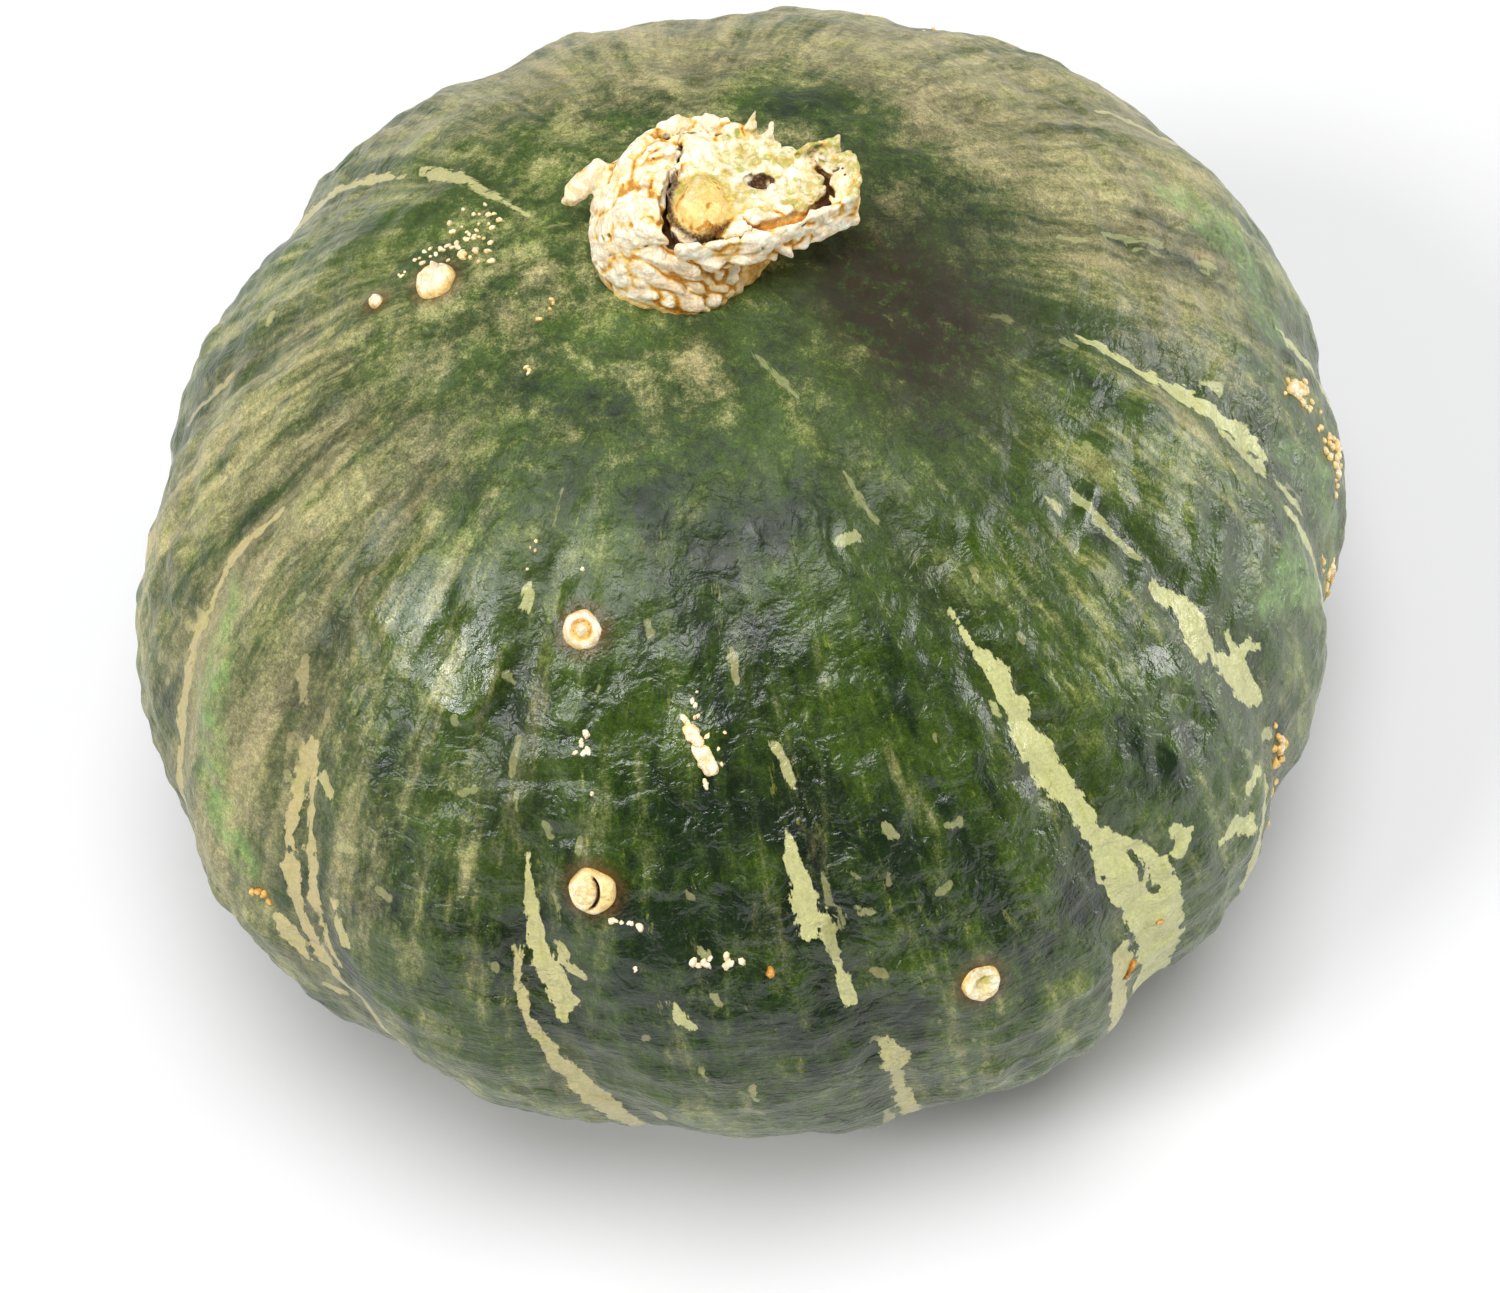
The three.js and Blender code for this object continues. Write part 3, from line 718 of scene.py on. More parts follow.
FRONT_RIM = [(-1.2, -9.3, 0.4), (3.3, -8.9, 0.5), (7.4, -8.1, 0.5), (10.6, -7.0, 0.6),
             (15.9, -4.6, 0.6), (20.0, -2.1, 0.6), (22.8, -0.2, 0.6)]
BACK_RIM = [(-6.4, 8.8, 0.7), (-4.4, 10.4, 0.9), (-1.6, 11.9, 1.0), (2.0, 12.3, 0.9),
            (5.4, 11.7, 0.8), (8.0, 11.4, 0.7)]
RIGHT_LOBE = [(20.2, 6.2, 0.6), (22.0, 6.4, 0.7), (23.0, 4.8, 0.8), (23.2, 2.0, 0.8),
              (22.7, -0.2, 0.7)]
UPPER_LOBE = [(15.4, 7.0, 0.4), (17.4, 8.2, 0.5), (19.4, 8.6, 0.5), (20.6, 8.1, 0.4)]

# Grooves in the cut face: run, level of the bottom, and how far its edges are rounded.
CUTS = [(TRENCH, 12.0, 0.6), (CRACK, 12.6, 0.25), (BACK_LINE, 13.2, 0.2), (CREVICE, 11.0, 0.3)]
# Walls on the cut face: run, and height above the cut level.
RIMS = [(FRONT_RIM, 0.2), (BACK_RIM, 0.9), (RIGHT_LOBE, 0.6), (UPPER_LOBE, 1.0)]
WALL_REACH = 3.0  # half the height of a wall, most of it inside the stem

BOSS_MIDDLE = (1.9, -1.9, 12.9)
BOSS_RADII = (4.3, 5.5, 3.3)
PIT_MIDDLE = (10.0, 2.6, 14.6)
PIT_RADII = (1.9, 1.2, 2.6)
SPIKES = [  # (x, y, z, radius) at the root and at the tip
    ((8.2, 11.0, 12.5, 1.5), (9.2, 11.8, 17.2, 0.2)),
    ((10.8, 10.3, 12.5, 1.3), (11.6, 10.9, 15.8, 0.25)),
    ((19.6, 8.0, 13.0, 0.8), (20.8, 8.9, 15.6, 0.3)),
]
FLAP = [(-10.0, 7.6, 9.0, 1.5), (-12.4, 7.4, 10.2, 1.3), (-14.2, 6.5, 9.4, 1.5),
        (-15.8, 5.5, 8.0, 1.45), (-16.5, 4.8, 6.8, 1.1)]
BLOCK_ROUNDING = 0.15
BLOCKS = [  # broken bits of bark: middle, half sizes, turn in degrees
    ((-4.6, 4.6, 15.3), (1.3, 0.7, 1.1), 24),
    ((-3.2, 1.7, 15.4), (1.5, 0.85, 1.2), 42),
    ((-5.2, 1.0, 15.3), (0.7, 1.3, 1.1), -14),
    ((-2.6, 6.2, 14.9), (0.8, 0.6, 1.0), 10),
    ((-2.0, 3.9, 14.8), (0.9, 0.6, 1.0), -8),
    ((-4.4, 7.0, 14.9), (1.0, 0.6, 0.9), 34),
    ((-3.7, -1.0, 15.1), (0.8, 0.9, 1.0), 60),
]
STEM_HOLES = [  # dark holes in the papery front: middle and radius
    ((2.6, -9.6, 3.2), 0.4),
    ((8.8, -6.8, 6.4), 0.7),
    ((7.8, -7.6, 5.0), 0.5),
    ((6.9, -8.2, 3.4), 0.45),
]
PORE_COUNT = 110  # holes in the porous middle of the cut face
PIT_COUNT = 150  # holes in the side, and half as many on the rounded top
PORE_MARGIN = 0.6  # how far outside a hole its soft edge reaches
RELIEF_DEPTH = 1.6  # the fine surface is worked out this near the boundary
CUT_DEPTH = 4.5  # and the grooves and holes this near it
MEAN_FOLD = 0.28  # about the mean of noise without its sign
STEM_SEED = 41


def soft_min(first, second, blend):
    """The lower of two fields, with the corner between them rounded over about blend mm."""
    share = np.clip(0.5 + 0.5 * (second - first) / blend, 0.0, 1.0)
    return second * (1 - share) + first * share - blend * share * (1 - share)


def soft_max(first, second, blend):
    return -soft_min(-first, -second, blend)


def ellipsoid(points, middle, radii):
    """About the distance in mm to an ellipsoid, negative inside it."""
    scaled = (points - np.array(middle)) / np.array(radii)
    reach = np.linalg.norm(scaled, axis=1)
    slope = np.linalg.norm(scaled / np.array(radii), axis=1)
    return reach * (reach - 1.0) / np.maximum(slope, 1e-9)


def turned_block(points, middle, halves, turn):
    """Distance to a block with rounded edges, turned about the vertical."""
    offset = points - np.array(middle)
    angle = math.radians(turn)
    x = offset[:, 0] * math.cos(angle) + offset[:, 1] * math.sin(angle)
    y = -offset[:, 0] * math.sin(angle) + offset[:, 1] * math.cos(angle)
    over = np.abs(np.stack([x, y, offset[:, 2]], axis=1)) - np.array(halves)
    outside = np.linalg.norm(np.maximum(over, 0.0), axis=1)
    return outside + np.minimum(over.max(axis=1), 0.0) - BLOCK_ROUNDING


def chain(points, run):
    """Distance to a round bar whose nodes end in their radius, in the plane or in space."""
    nodes = np.array(run, float)
    flat = points[:, : nodes.shape[1] - 1]
    bars = segments(flat, nodes[:, :-1], nodes[:, -1])
    gaps = [np.linalg.norm(offset, axis=1) - half for _, _, offset, half in bars]
    return np.minimum.reduce(gaps)


def carve(solid, points, run, bottom, blend):
    """Cut a groove along a run in the cut face, down to its bottom."""
    groove = soft_max(chain(points, run), bottom - points[:, 2], blend)
    return soft_max(solid, -groove, blend)


def ridge(solid, points, run, top):
    """Raise a wall along a run, up to its top."""
    level = np.abs(points[:, 2] - top + WALL_REACH) - WALL_REACH
    return soft_min(solid, soft_max(chain(points, run), level, 0.5), 0.8)


def trunk_level(z):
    """The trunk's middle in x and y and its half widths, at a height."""
    return [np.interp(z, TRUNK[:, 0], TRUNK[:, column]) for column in range(1, 5)]


def trunk(points):
    """About the distance to the stem's side, which is softly five-sided."""
    x, y, z = points.T
    level = trunk_level(z)
    taper = 1.0 - 0.022 * np.maximum(x - 5.0, 0.0) * ramp(z, 6.0, 12.0)
    across = (x - level[0]) / level[2]
    along = (y - level[1]) / (level[3] * taper)
    angle = np.arctan2(along, across)
    corner = 1.0 + 0.03 * np.cos(5 * angle + 0.6)
    reach = np.hypot(across, along) / corner
    return (reach - 1.0) * np.minimum(level[2], level[3] * taper) * 0.92


def trunk_top(points):
    """The height of the stem's top: rounded bark on the left, and the cut face on the right."""
    x, y, _ = points.T
    rounded = CUT_LEVEL + 1.5 - 7.5 * (np.minimum(x - SHOULDER_X, 0.0) / 9.0) ** 2
    rounded = rounded - 2.5 * np.maximum((np.abs(y - 2.0) - 5.0) / 5.0, 0.0) ** 2
    cut = CUT_LEVEL + CUT_SLOPE * x
    return rounded + (cut - rounded) * ramp(x, SHOULDER_X - 0.6, SHOULDER_X + 1.8)


def stem_bulk(points):
    """The stem without its grooves, its boss and its fine surface."""
    solid = soft_max(trunk(points), (points[:, 2] - trunk_top(points)) * 0.8, 1.6)
    solid = soft_max(solid, STEM_LOW[2] + 0.8 - points[:, 2], 0.5)
    x, y, z = points.T
    under_rim = band(z, 0.5, 4.0, 10.9, 12.2) * ramp(y, -3.0, -5.5) * ramp(x, -6.0, -2.0)
    solid = solid + 0.7 * under_rim
    for run, rise in RIMS:
        solid = ridge(solid, points, run, CUT_LEVEL + rise)
    for root, tip in SPIKES:
        solid = soft_min(solid, chain(points, [root, tip]), 0.5)
    solid = soft_min(solid, chain(points, FLAP), 0.9)
    for middle, halves, turn in BLOCKS:
        solid = soft_min(solid, turned_block(points, middle, halves, turn), 0.3)
    return solid


def stem_cuts(solid, points):
    """The grooves, the boss that stands in them, and the holes."""
    wander = Noise(STEM_SEED + 5)
    shaken = points.copy()
    shaken[:, 0] += 0.8 * wander(points, 1.6)
    shaken[:, 1] += 0.8 * wander(points + 50.0, 1.6)
    for run, bottom, blend in CUTS:
        solid = carve(solid, shaken, run, bottom, blend)
    boss = ellipsoid(points, BOSS_MIDDLE, BOSS_RADII)
    boss -= 0.55 * Noise(STEM_SEED + 4)(points, (2.6, 4.0, 2.6))
    solid = soft_min(solid, boss, 0.2)
    solid = soft_max(solid, -ellipsoid(shaken, PIT_MIDDLE, PIT_RADII), 0.4)
    for middle, radius in STEM_HOLES:
        solid = soft_max(solid, radius - np.linalg.norm(shaken - np.array(middle), axis=1), 0.3)
    return solid


def boss_share(points):
    """1 on the round boss."""
    gap = ellipsoid(points, BOSS_MIDDLE, BOSS_RADII)
    return ramp(gap, 0.7, -0.1) * ramp(points[:, 2], 11, 12)


def pith_share(points):
    """1 on the porous middle of the cut face."""
    x, y, z = points.T
    inside = np.hypot((x - 10.6) / 9.4, (y - 4.6) / 6.0)
    return ramp(inside, 1.08, 0.86) * ramp(z, 12.4, 13.4) * (1 - boss_share(points))


def papery_share(points):
    """1 on the thin dry skin low on the front."""
    x, y, z = points.T
    return ramp(y, -2.0, -6.5) * ramp(z, 12.6, 10.0) * ramp(x, -9.0, -4.0)


def stem_relief(points):
    """How far the stem's fine surface stands out, in mm."""
    pith, papery = pith_share(points), papery_share(points)
    bark = 1.0 - np.maximum(pith, 0.75 * papery)
    lumps = Noise(STEM_SEED)
    warped = points + 0.5 * lumps(points + 9.0, 1.3)[:, None]
    height = bark * 0.95 * (np.abs(lumps(warped, 5.2)) - MEAN_FOLD)
    height += bark * 0.4 * (np.abs(lumps(warped + 31.0, 2.2)) - MEAN_FOLD)
    height += 0.1 * Noise(STEM_SEED + 1)(points, 0.9)
    wrinkled = points @ np.array([[0.80, -0.52, 0.0], [0.20, 0.25, 0.9], [0.55, 0.80, -0.2]]).T
    wrinkles = np.abs(Noise(STEM_SEED + 2)(wrinkled, (7.0, 2.2, 2.2))) - MEAN_FOLD
    height += papery * 1.5 * wrinkles
    height += pith * 1.3 * (np.abs(Noise(STEM_SEED + 3)(points, 2.1)) - 0.25)
    return height


def stem_pores():
    """Seeded small holes: tight in the pith, sparser in the bark. Rows of x, y, z, radius."""
    rng = np.random.default_rng(STEM_SEED)
    rows = []
    for _ in range(PORE_COUNT):
        x, y = rng.uniform(4.5, 19.0), rng.uniform(-2.5, 10.5)
        z = CUT_LEVEL + CUT_SLOPE * x + rng.uniform(0.1, 0.5)
        rows.append((x, y, z, rng.uniform(0.35, 0.75)))
    for _ in range(PIT_COUNT):
        angle, z = rng.uniform(0, 2 * math.pi), rng.uniform(1.5, 14.5)
        level = trunk_level(z)
        reach = rng.uniform(0.86, 1.03)
        x = level[0] + level[2] * reach * math.cos(angle)
        y = level[1] + level[3] * reach * math.sin(angle)
        rows.append((x, y, z, rng.uniform(0.3, 0.55)))
    for _ in range(PIT_COUNT // 2):
        x, y = rng.uniform(-11.5, -4.5), rng.uniform(-6.0, 9.0)
        z = trunk_top(np.array([[x, y, 0.0]]))[0]
        rows.append((x, y, z + rng.uniform(-0.3, 0.3), rng.uniform(0.3, 0.5)))
    return rows


def stem_grid():
    """The stem's distances on a regular grid, with the fine surface near the boundary only."""
    axes = [np.arange(low, high, STEM_CELL) for low, high in zip(STEM_LOW, STEM_HIGH)]
    shape = tuple(len(axis) for axis in axes)
    points = np.stack(np.meshgrid(*axes, indexing="ij"), axis=-1).reshape(-1, 3)
    field = stem_bulk(points)
    near = np.flatnonzero(np.abs(field) < CUT_DEPTH)
    skin = near[np.abs(field[near]) < RELIEF_DEPTH]
    field[skin] -= stem_relief(points[skin])
    field[near] = stem_cuts(field[near], points[near])
    field = field.reshape(shape)
    for x, y, z, radius in stem_pores():
        low = np.array([x, y, z]) - radius - PORE_MARGIN - STEM_LOW
        first = np.maximum((low / STEM_CELL).astype(int), 0)
        last = first + int((2 * radius + 2 * PORE_MARGIN) / STEM_CELL) + 2
        block = tuple(slice(a, b) for a, b in zip(first, last))
        spot = np.meshgrid(*(axis[cut] for axis, cut in zip(axes, block)), indexing="ij")
        gap = np.sqrt((spot[0] - x) ** 2 + (spot[1] - y) ** 2 + (spot[2] - z) ** 2)
        field[block] = soft_max(field[block], radius - gap, 0.25)
    return field


def wrap_field(field, low, cell):
    """Surface nets: a closed mesh of quads round the negative part of a field on a grid."""
    inside = field < 0
    steps = list(itertools.product((0, 1), repeat=3))
    size = np.array(field.shape) - 1
    corner_in = [inside[tuple(slice(s, s + n) for s, n in zip(step, size))] for step in steps]
    filled = sum(c.astype(np.int8) for c in corner_in)
    cells = np.argwhere((filled > 0) & (filled < 8))
    values = np.stack([field[tuple((cells + step).T)] for step in steps], axis=1)
    total, count = np.zeros((len(cells), 3)), np.zeros(len(cells))
    for a, b in itertools.combinations(range(8), 2):
        gap = np.abs(np.array(steps[a]) - steps[b])
        if gap.sum() != 1:
            continue
        crossed = (values[:, a] < 0) != (values[:, b] < 0)
        share = np.where(crossed, values[:, a] / (values[:, a] - values[:, b] + 1e-30), 0.0)
        place = np.array(steps[a]) + share[:, None] * (np.array(steps[b]) - steps[a])
        total += np.where(crossed[:, None], place, 0.0)
        count += crossed
    points = low + cell * (cells + total / count[:, None])
    number = np.full(tuple(size), -1)
    number[tuple(cells.T)] = np.arange(len(cells))
    quads = []
    for axis in range(3):
        side, up = (axis + 1) % 3, (axis + 2) % 3
        first = np.take(inside, range(size[axis]), axis)
        second = np.take(inside, range(1, size[axis] + 1), axis)
        edges = np.argwhere(first != second)
        outwards = first[tuple(edges.T)]
        ring = []
        for across, along in ((1, 1), (0, 1), (0, 0), (1, 0)):
            cell_at = edges.copy()
            cell_at[:, side] -= across
            cell_at[:, up] -= along
            ring.append(number[tuple(cell_at.T)])
        ring = np.stack(ring, axis=1)
        quads.append(np.where(outwards[:, None], ring, ring[:, ::-1]))
    return points, np.concatenate(quads)


def stem_fields(points):
    """How much of each stain, and of painted shade in the recesses, the stem has at each point."""
    x, y, z = points.T
    boss, pith = boss_share(points), pith_share(points)
    hollow = ramp(stem_relief(points), 0.0, -0.36) ** 1.5
    crevice = ramp(chain(points, CREVICE), 0.5, -0.15) * band(z, 9.8, 11.0, 12.2, 14.0)
    crack = np.minimum(chain(points, CRACK), chain(points, BACK_LINE))
    crack = ramp(crack, 0.35, -0.1) * band(z, 11.0, 12.0, 13.4, 14.6)
    trench = ramp(chain(points, TRENCH), 0.9, -0.3) * band(z, 10.6, 11.6, 12.6, 13.8)
    pit = ramp(ellipsoid(points, PIT_MIDDLE, PIT_RADII), 0.5, 0.0)
    boss_x, boss_y, _ = ((points - BOSS_MIDDLE) / BOSS_RADII).T
    boss_edge = bell(np.hypot(boss_x, boss_y) - 1.0, 0.16) * ramp(z, 10.5, 12.0)
    rim = np.minimum(chain(points, RIGHT_LOBE), chain(points, UPPER_LOBE))
    # Painted shade: dark brown in the crevice, cracks, pit and holes, the trench's right end and
    # the boss's front-left edge.
    recess_shade = np.maximum.reduce([
        crevice,
        0.8 * crack,
        0.75 * pit,
        0.8 * trench * ramp(x, 15.0, 18.0),
        0.7 * boss_edge * ramp(x + y, 3.5, -0.5),
    ])
    for middle, radius in STEM_HOLES:
        gap = np.linalg.norm(points - np.array(middle), axis=1) - radius
        recess_shade = np.maximum(recess_shade, 0.8 * ramp(gap, 0.9, -0.1))
    amber = np.maximum.reduce([
        trench,
        hollow,
        0.5 * boss * ramp(y, -0.5, -5.5),
        0.7 * ramp(z, 2.6, -0.2),
        0.3 * ramp(Noise(51).layered(points, 6.0, 2), 0.15, 0.7),
        0.35 * ramp(chain(points, FLAP), 0.4, -0.3),
        0.8 * ramp(x, 6.0, 9.0) * ramp(z, 8.5, 6.0),
    ])
    moss = np.maximum.reduce([
        0.9 * ramp(rim, 0.8, -0.1) * ramp(z, 12.4, 14.2),
        0.8 * boss_edge * ramp(x, 0.0, 3.0) * ramp(z, 11.5, 13.0),
        0.9 * boss * ramp(y - 0.4 * x, -4.5, 0.5),
        0.5 * pith * hollow,
    ])
    for pore_x, pore_y, pore_z, radius in stem_pores()[:PORE_COUNT]:
        gap = np.hypot(np.hypot(x - pore_x, y - pore_y), z - pore_z) - radius
        moss = np.maximum(moss, 0.9 * ramp(gap, 0.5, 0.0))
    amber = amber * (1 - 0.85 * pith * (1 - trench))
    return {"recess_shade": recess_shade, "amber": amber, "moss": moss, "boss": boss,
            "papery": papery_share(points)}


def stem_body():
    """The corky stub of the stem."""
    points, quads = wrap_field(stem_grid(), STEM_LOW, STEM_CELL)
    fields = stem_fields(points)
    crown = skin_points([0.0], [90.0])[0]
    return make_mesh("stem_stub", points + crown, quads, fields)


# ---- Making meshes --------------------------------------------------------------------------


def make_mesh(name, points, faces, fields):
    """A piece from points in mm and faces, with each field's number or vector at each point."""
    mesh = bpy.data.meshes.new(name)
    placed = (np.asarray(points, float) + SHIFT) * MM
    mesh.from_pydata(placed.tolist(), [], [list(map(int, face)) for face in faces])
    for field, values in fields.items():
        values = np.asarray(values, np.float32)
        vector = values.ndim == 2
        layer = mesh.attributes.new(field, "FLOAT_VECTOR" if vector else "FLOAT", "POINT")
        layer.data.foreach_set("vector" if vector else "value", values.ravel())
    mesh.polygons.foreach_set("use_smooth", [True] * len(mesh.polygons))
    mesh.update()
    piece = bpy.data.objects.new(name, mesh)
    bpy.context.scene.collection.objects.link(piece)
    return piece


def dress(piece, material):
    """Give a piece its material and the body it rides on."""
    piece.data.materials.append(material)
    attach(piece, "root")


def fruit_body():
    """The skin, with the fields that its material needs."""
    directions, quads = ball_grid(SKIN_CELLS)
    dense = MESH_PULL * np.array(CAMERA_BACK)
    lift = directions @ dense
    reach = -lift + np.sqrt(lift**2 + 1 - dense @ dense)
    unit = dense + reach[:, None] * directions
    latitude = np.degrees(np.arcsin(np.clip(unit[:, 2], -1.0, 1.0)))
    azimuth = np.degrees(np.arctan2(unit[:, 0], -unit[:, 1]))
    smooth_skin = skin_points(azimuth, latitude)
    distance, strip, tint, bold = mark_fields(smooth_skin)
    rise, facet = relief(smooth_skin, azimuth, latitude)
    points = smooth_skin + vertex_normals(smooth_skin, quads) * rise[:, None]
    points[:, 2] = np.maximum(points[:, 2], REST_LEVEL)
    fields = {
        "flow": along_ribs(azimuth, latitude),
        "mark": distance,
        "strip": strip,
        "tint": tint,
        "bold": bold,
        "crown": ramp(latitude, 46, 72),
        "dark": patch_weight(azimuth, latitude, DARK_PATCHES),
        # pale dust, partly painted sheen
        "dust_and_sheen": patch_weight(azimuth, latitude, DUST_AND_SHEEN_PATCHES),
        "vivid": vivid_weight(smooth_skin),
        "rust": rust_weight(smooth_skin),
        "umber": patch_weight(azimuth, latitude, UMBER_PATCHES),
        # painted shade along the grooves between the ribs
        "groove_shade": np.clip(groove_depth(azimuth, latitude) / 2.0, 0.0, 1.0),
        "flank": ramp(latitude, 28, 0),
        "under": ramp(latitude, -30, -62),
        "facet": facet,
    }
    return make_mesh("fruit_body", points, quads, fields)


# ---- Corky knobs, scabs and crumbs on the skin ----------------------------------------------

# Clusters of crumbs: azimuth, latitude, spread in both (degrees), count, width in mm, amber.
CRUMBS = [
    (-101, 66.5, 6.5, 3.6, 46, 0.75, 0.2),
    (-96, 61, 4.0, 1.6, 10, 0.55, 0.2),
    (-68, 75.5, 1.6, 0.6, 4, 0.7, 0.5),
    (-51, 71, 1.0, 0.5, 3, 0.6, 0.3),
    (-19, 57.6, 0.1, 0.1, 1, 1.1, 0.1),
    (-15, 42.6, 0.8, 0.7, 7, 1.0, 0.0),
    (-13.4, 38.6, 0.2, 0.2, 2, 0.7, 0.0),
    (-10.4, 26.2, 1.2, 0.5, 5, 0.9, 0.0),
    (-8.6, 25.4, 0.1, 0.1, 1, 1.7, 0.1),
    (-9, 20.6, 0.5, 0.3, 3, 0.6, 0.1),
    (-1.4, 21.6, 1.5, 0.6, 10, 0.95, 0.0),
    (3.2, 19.8, 0.1, 0.1, 1, 1.5, 0.9),
    (-1.2, 46.2, 0.8, 1.2, 5, 0.6, 0.1),
    (0.8, 42.6, 1.0, 1.6, 6, 0.55, 0.3),
    (99, 20, 1.2, 4.0, 22, 1.2, 0.3),
    (97, 9, 1.6, 5.0, 30, 1.2, 0.3),
    (90, -2, 1.4, 4.0, 18, 1.1, 0.3),
    (66, 0, 1.0, 3.0, 16, 1.2, 0.5),
    (64, -7, 1.0, 2.0, 10, 1.1, 0.5),
    (37.3, -3, 0.5, 0.9, 5, 1.3, 0.9),
    (42.4, 2.4, 0.6, 0.3, 5, 0.6, 0.8),
    (-46.4, 10.2, 0.9, 1.0, 5, 1.0, 0.7),
    (-27.5, 58, 1.0, 1.6, 5, 0.5, 0.3),
    (152, 28, 8.0, 6.0, 16, 0.7, 0.3),
    (-140, 20, 9.0, 8.0, 14, 0.7, 0.3),
]
CRUMB_SEED = 61
CRUMB_GRID = (12, 3)  # spokes and rings of each crumb's mesh
SCAB_GRID = (40, 9)
WART_GRID = (72, 22)
SKIRT_SHARE = 1.02  # each lump's mesh goes on to this share of its outline
SKIRT_DEPTH = 1.2  # and ends this many mm under the skin
SCAB_AMBER = 0.15
# Scabs: azimuth, latitude, length, width, height in mm, turn in degrees from the rib.
SCABS = [
    (-0.6, 41.8, 5.4, 2.6, 0.6, 24),
    (-1.8, 44.0, 4.4, 2.0, 0.5, 30),
    (-2.7, 45.4, 2.4, 0.9, 0.4, 38),
    (-0.9, 39.6, 1.5, 0.8, 0.3, 10),
    (98, 22, 3.8, 2.2, 0.8, 8),
    (96, 8, 3.8, 1.6, 0.6, -6),
    (66.4, 1, 5.0, 1.4, 0.5, -8),
    (178.5, 12, 4.4, 1.8, 0.5, 12),
]


def skin_frame(azimuth, latitude):
    """A point on the lumpy skin, with the directions right, along the rib and outwards."""
    here, axes = skin_axes(azimuth, latitude)
    rise, _ = relief(here[None], np.array([float(azimuth)]), np.array([float(latitude)]))
    return here + rise[0] * axes[2], axes


def bulge(spokes, rings, place, axes, outline, surface):
    """A closed lump on the skin on a polar grid. outline gives mm from its middle for each angle,
    and surface its height in mm for each place and share of the way out."""
    angle = np.arange(spokes) * 2 * math.pi / spokes
    share = np.concatenate([np.linspace(0, 1, rings + 1)[1:], [SKIRT_SHARE]])
    reach = outline(angle)
    x = np.concatenate([[0.0], np.outer(share, reach * np.cos(angle)).ravel()])
    y = np.concatenate([[0.0], np.outer(share, reach * np.sin(angle)).ravel()])
    ring = np.concatenate([[0.0], np.repeat(share, spokes)])
    z = np.where(ring > 1.0, -SKIRT_DEPTH, surface(x, y, ring))
    points = place + np.stack([x, y, z], axis=1) @ axes
    faces = []
    for k in range(spokes):
        following = (k + 1) % spokes
        faces.append((0, 1 + k, 1 + following))
        for level in range(rings):
            low, high = 1 + level * spokes, 1 + (level + 1) * spokes
            faces.append((low + k, high + k, high + following, low + following))
    last = 1 + rings * spokes
    faces.append(tuple(range(last + spokes - 1, last - 1, -1)))
    return points, faces, (x, y, ring)


def oval_outline(length, width, wobble, size, noise, shift):
    """An uneven oval: mm from its middle for each angle. shift keeps two outlines apart."""

    def outline(angle):
        circle = np.stack([np.cos(angle), np.sin(angle), 0 * angle + shift], axis=1)
        oval = 1 / np.hypot(2 * np.cos(angle) / length, 2 * np.sin(angle) / width)
        return oval * (1 + wobble * noise(circle, size))

    return outline


def crumb_surface(height, noise, shift):
    """A rough dome."""

    def surface(x, y, ring):
        flat = np.stack([x, y, 0 * x + shift], axis=1)
        dome = (1 - np.minimum(ring, 1) ** 2) ** 0.5
        return height * dome * (1 + 0.5 * noise(flat, 0.6)) + 0.05

    return surface


def cleft(u, v, width):
    """The curved split across the split knob, in shares of its radius."""
    return bell(np.hypot(u + 0.75, v) - 1.06, width) * ramp(0.9 - np.abs(v), 0.0, 0.3)


def cup(u, v, width):
    """The hollow of the cupped knob."""
    return bell(np.hypot(u * 0.95, (v - 0.22) * 1.2), width)


def wart_surface(form, radius, height, noise):
    """The surface of each form of knob."""

    def surface(x, y, ring):
        dome = height * (1 - np.minimum(ring, 1.0) ** 4) ** 0.6
        flat = np.stack([x, y, 0 * x], axis=1)
        rough = noise(flat, 1.1) * 0.3 + noise(flat + 7, 0.5) * 0.12
        u, v = x / radius, y / radius
        if form == "ringed":
            dome = dome * (0.75 + 0.3 * bell(ring - 0.72, 0.22))
            dome = dome - 0.5 * height * bell(ring - 0.42, 0.12) + 0.75 * height * bell(ring, 0.24)
        if form == "split":
            seam = bell(np.hypot(u + 0.28, v - 0.05) - 0.58, 0.05)
            dome = dome * (1 - 0.9 * cleft(u, v, 0.07) - 0.22 * seam)
        if form == "cupped":
            dome = dome * (1.12 - 0.95 * cup(u, v, 0.5)) - 0.5 * height * ramp(v, 0.4, 1.0)
        if form == "knobbed":
            dome = dome * (1 - 0.35 * ring**2)
            dome = dome + 0.75 * height * bell(np.hypot(u + 0.3, v - 0.22), 0.2)
            dome = dome - 0.2 * height * bell(np.hypot(u + 0.1, v) - 0.62, 0.08)
            dome = dome + 0.3 * height * bell(np.hypot(u + 0.45, v - 0.75), 0.22)
        return dome + rough * (1 - ring**6)

    return surface


def wart_stains_and_shade(form, x, y, ring, radius):
    """How much of each stain, and of painted shade, each form of knob has."""
    u, v = x / radius, y / radius
    edge = ramp(ring, 0.78, 1.0)
    # The second share is painted shade: darker at the knob's foot, in the ring's groove, in the
    # cleft and on the cup's low side.
    amber, recess_shade, moss = 0.55 * edge, 0.5 * ramp(ring, 1.0, SKIRT_SHARE), 0 * ring
    if form == "ringed":
        amber = np.maximum(amber, 0.7 * bell(ring - 0.42, 0.13))
        recess_shade = np.maximum(recess_shade, 0.45 * bell(ring - 0.42, 0.07))
    if form == "split":
        amber = np.maximum(amber, np.maximum(0.5 * ramp(u, 0.2, 0.5), 0.35))
        recess_shade = np.maximum(recess_shade, cleft(u, v, 0.09))
        moss = 0.55 * bell(np.hypot(u + 0.3, v + 0.1), 0.5)
    if form == "cupped":
        recess_shade = np.maximum(recess_shade, 0.4 * ramp(v, 0.35, 0.8))
        moss = cup(u, v, 0.6)
    if form == "knobbed":
        amber = 0.25 + 0.3 * edge - 0.25 * bell(np.hypot(u + 0.3, v - 0.22), 0.3)
    return {"amber": amber, "recess_shade": recess_shade, "moss": moss}


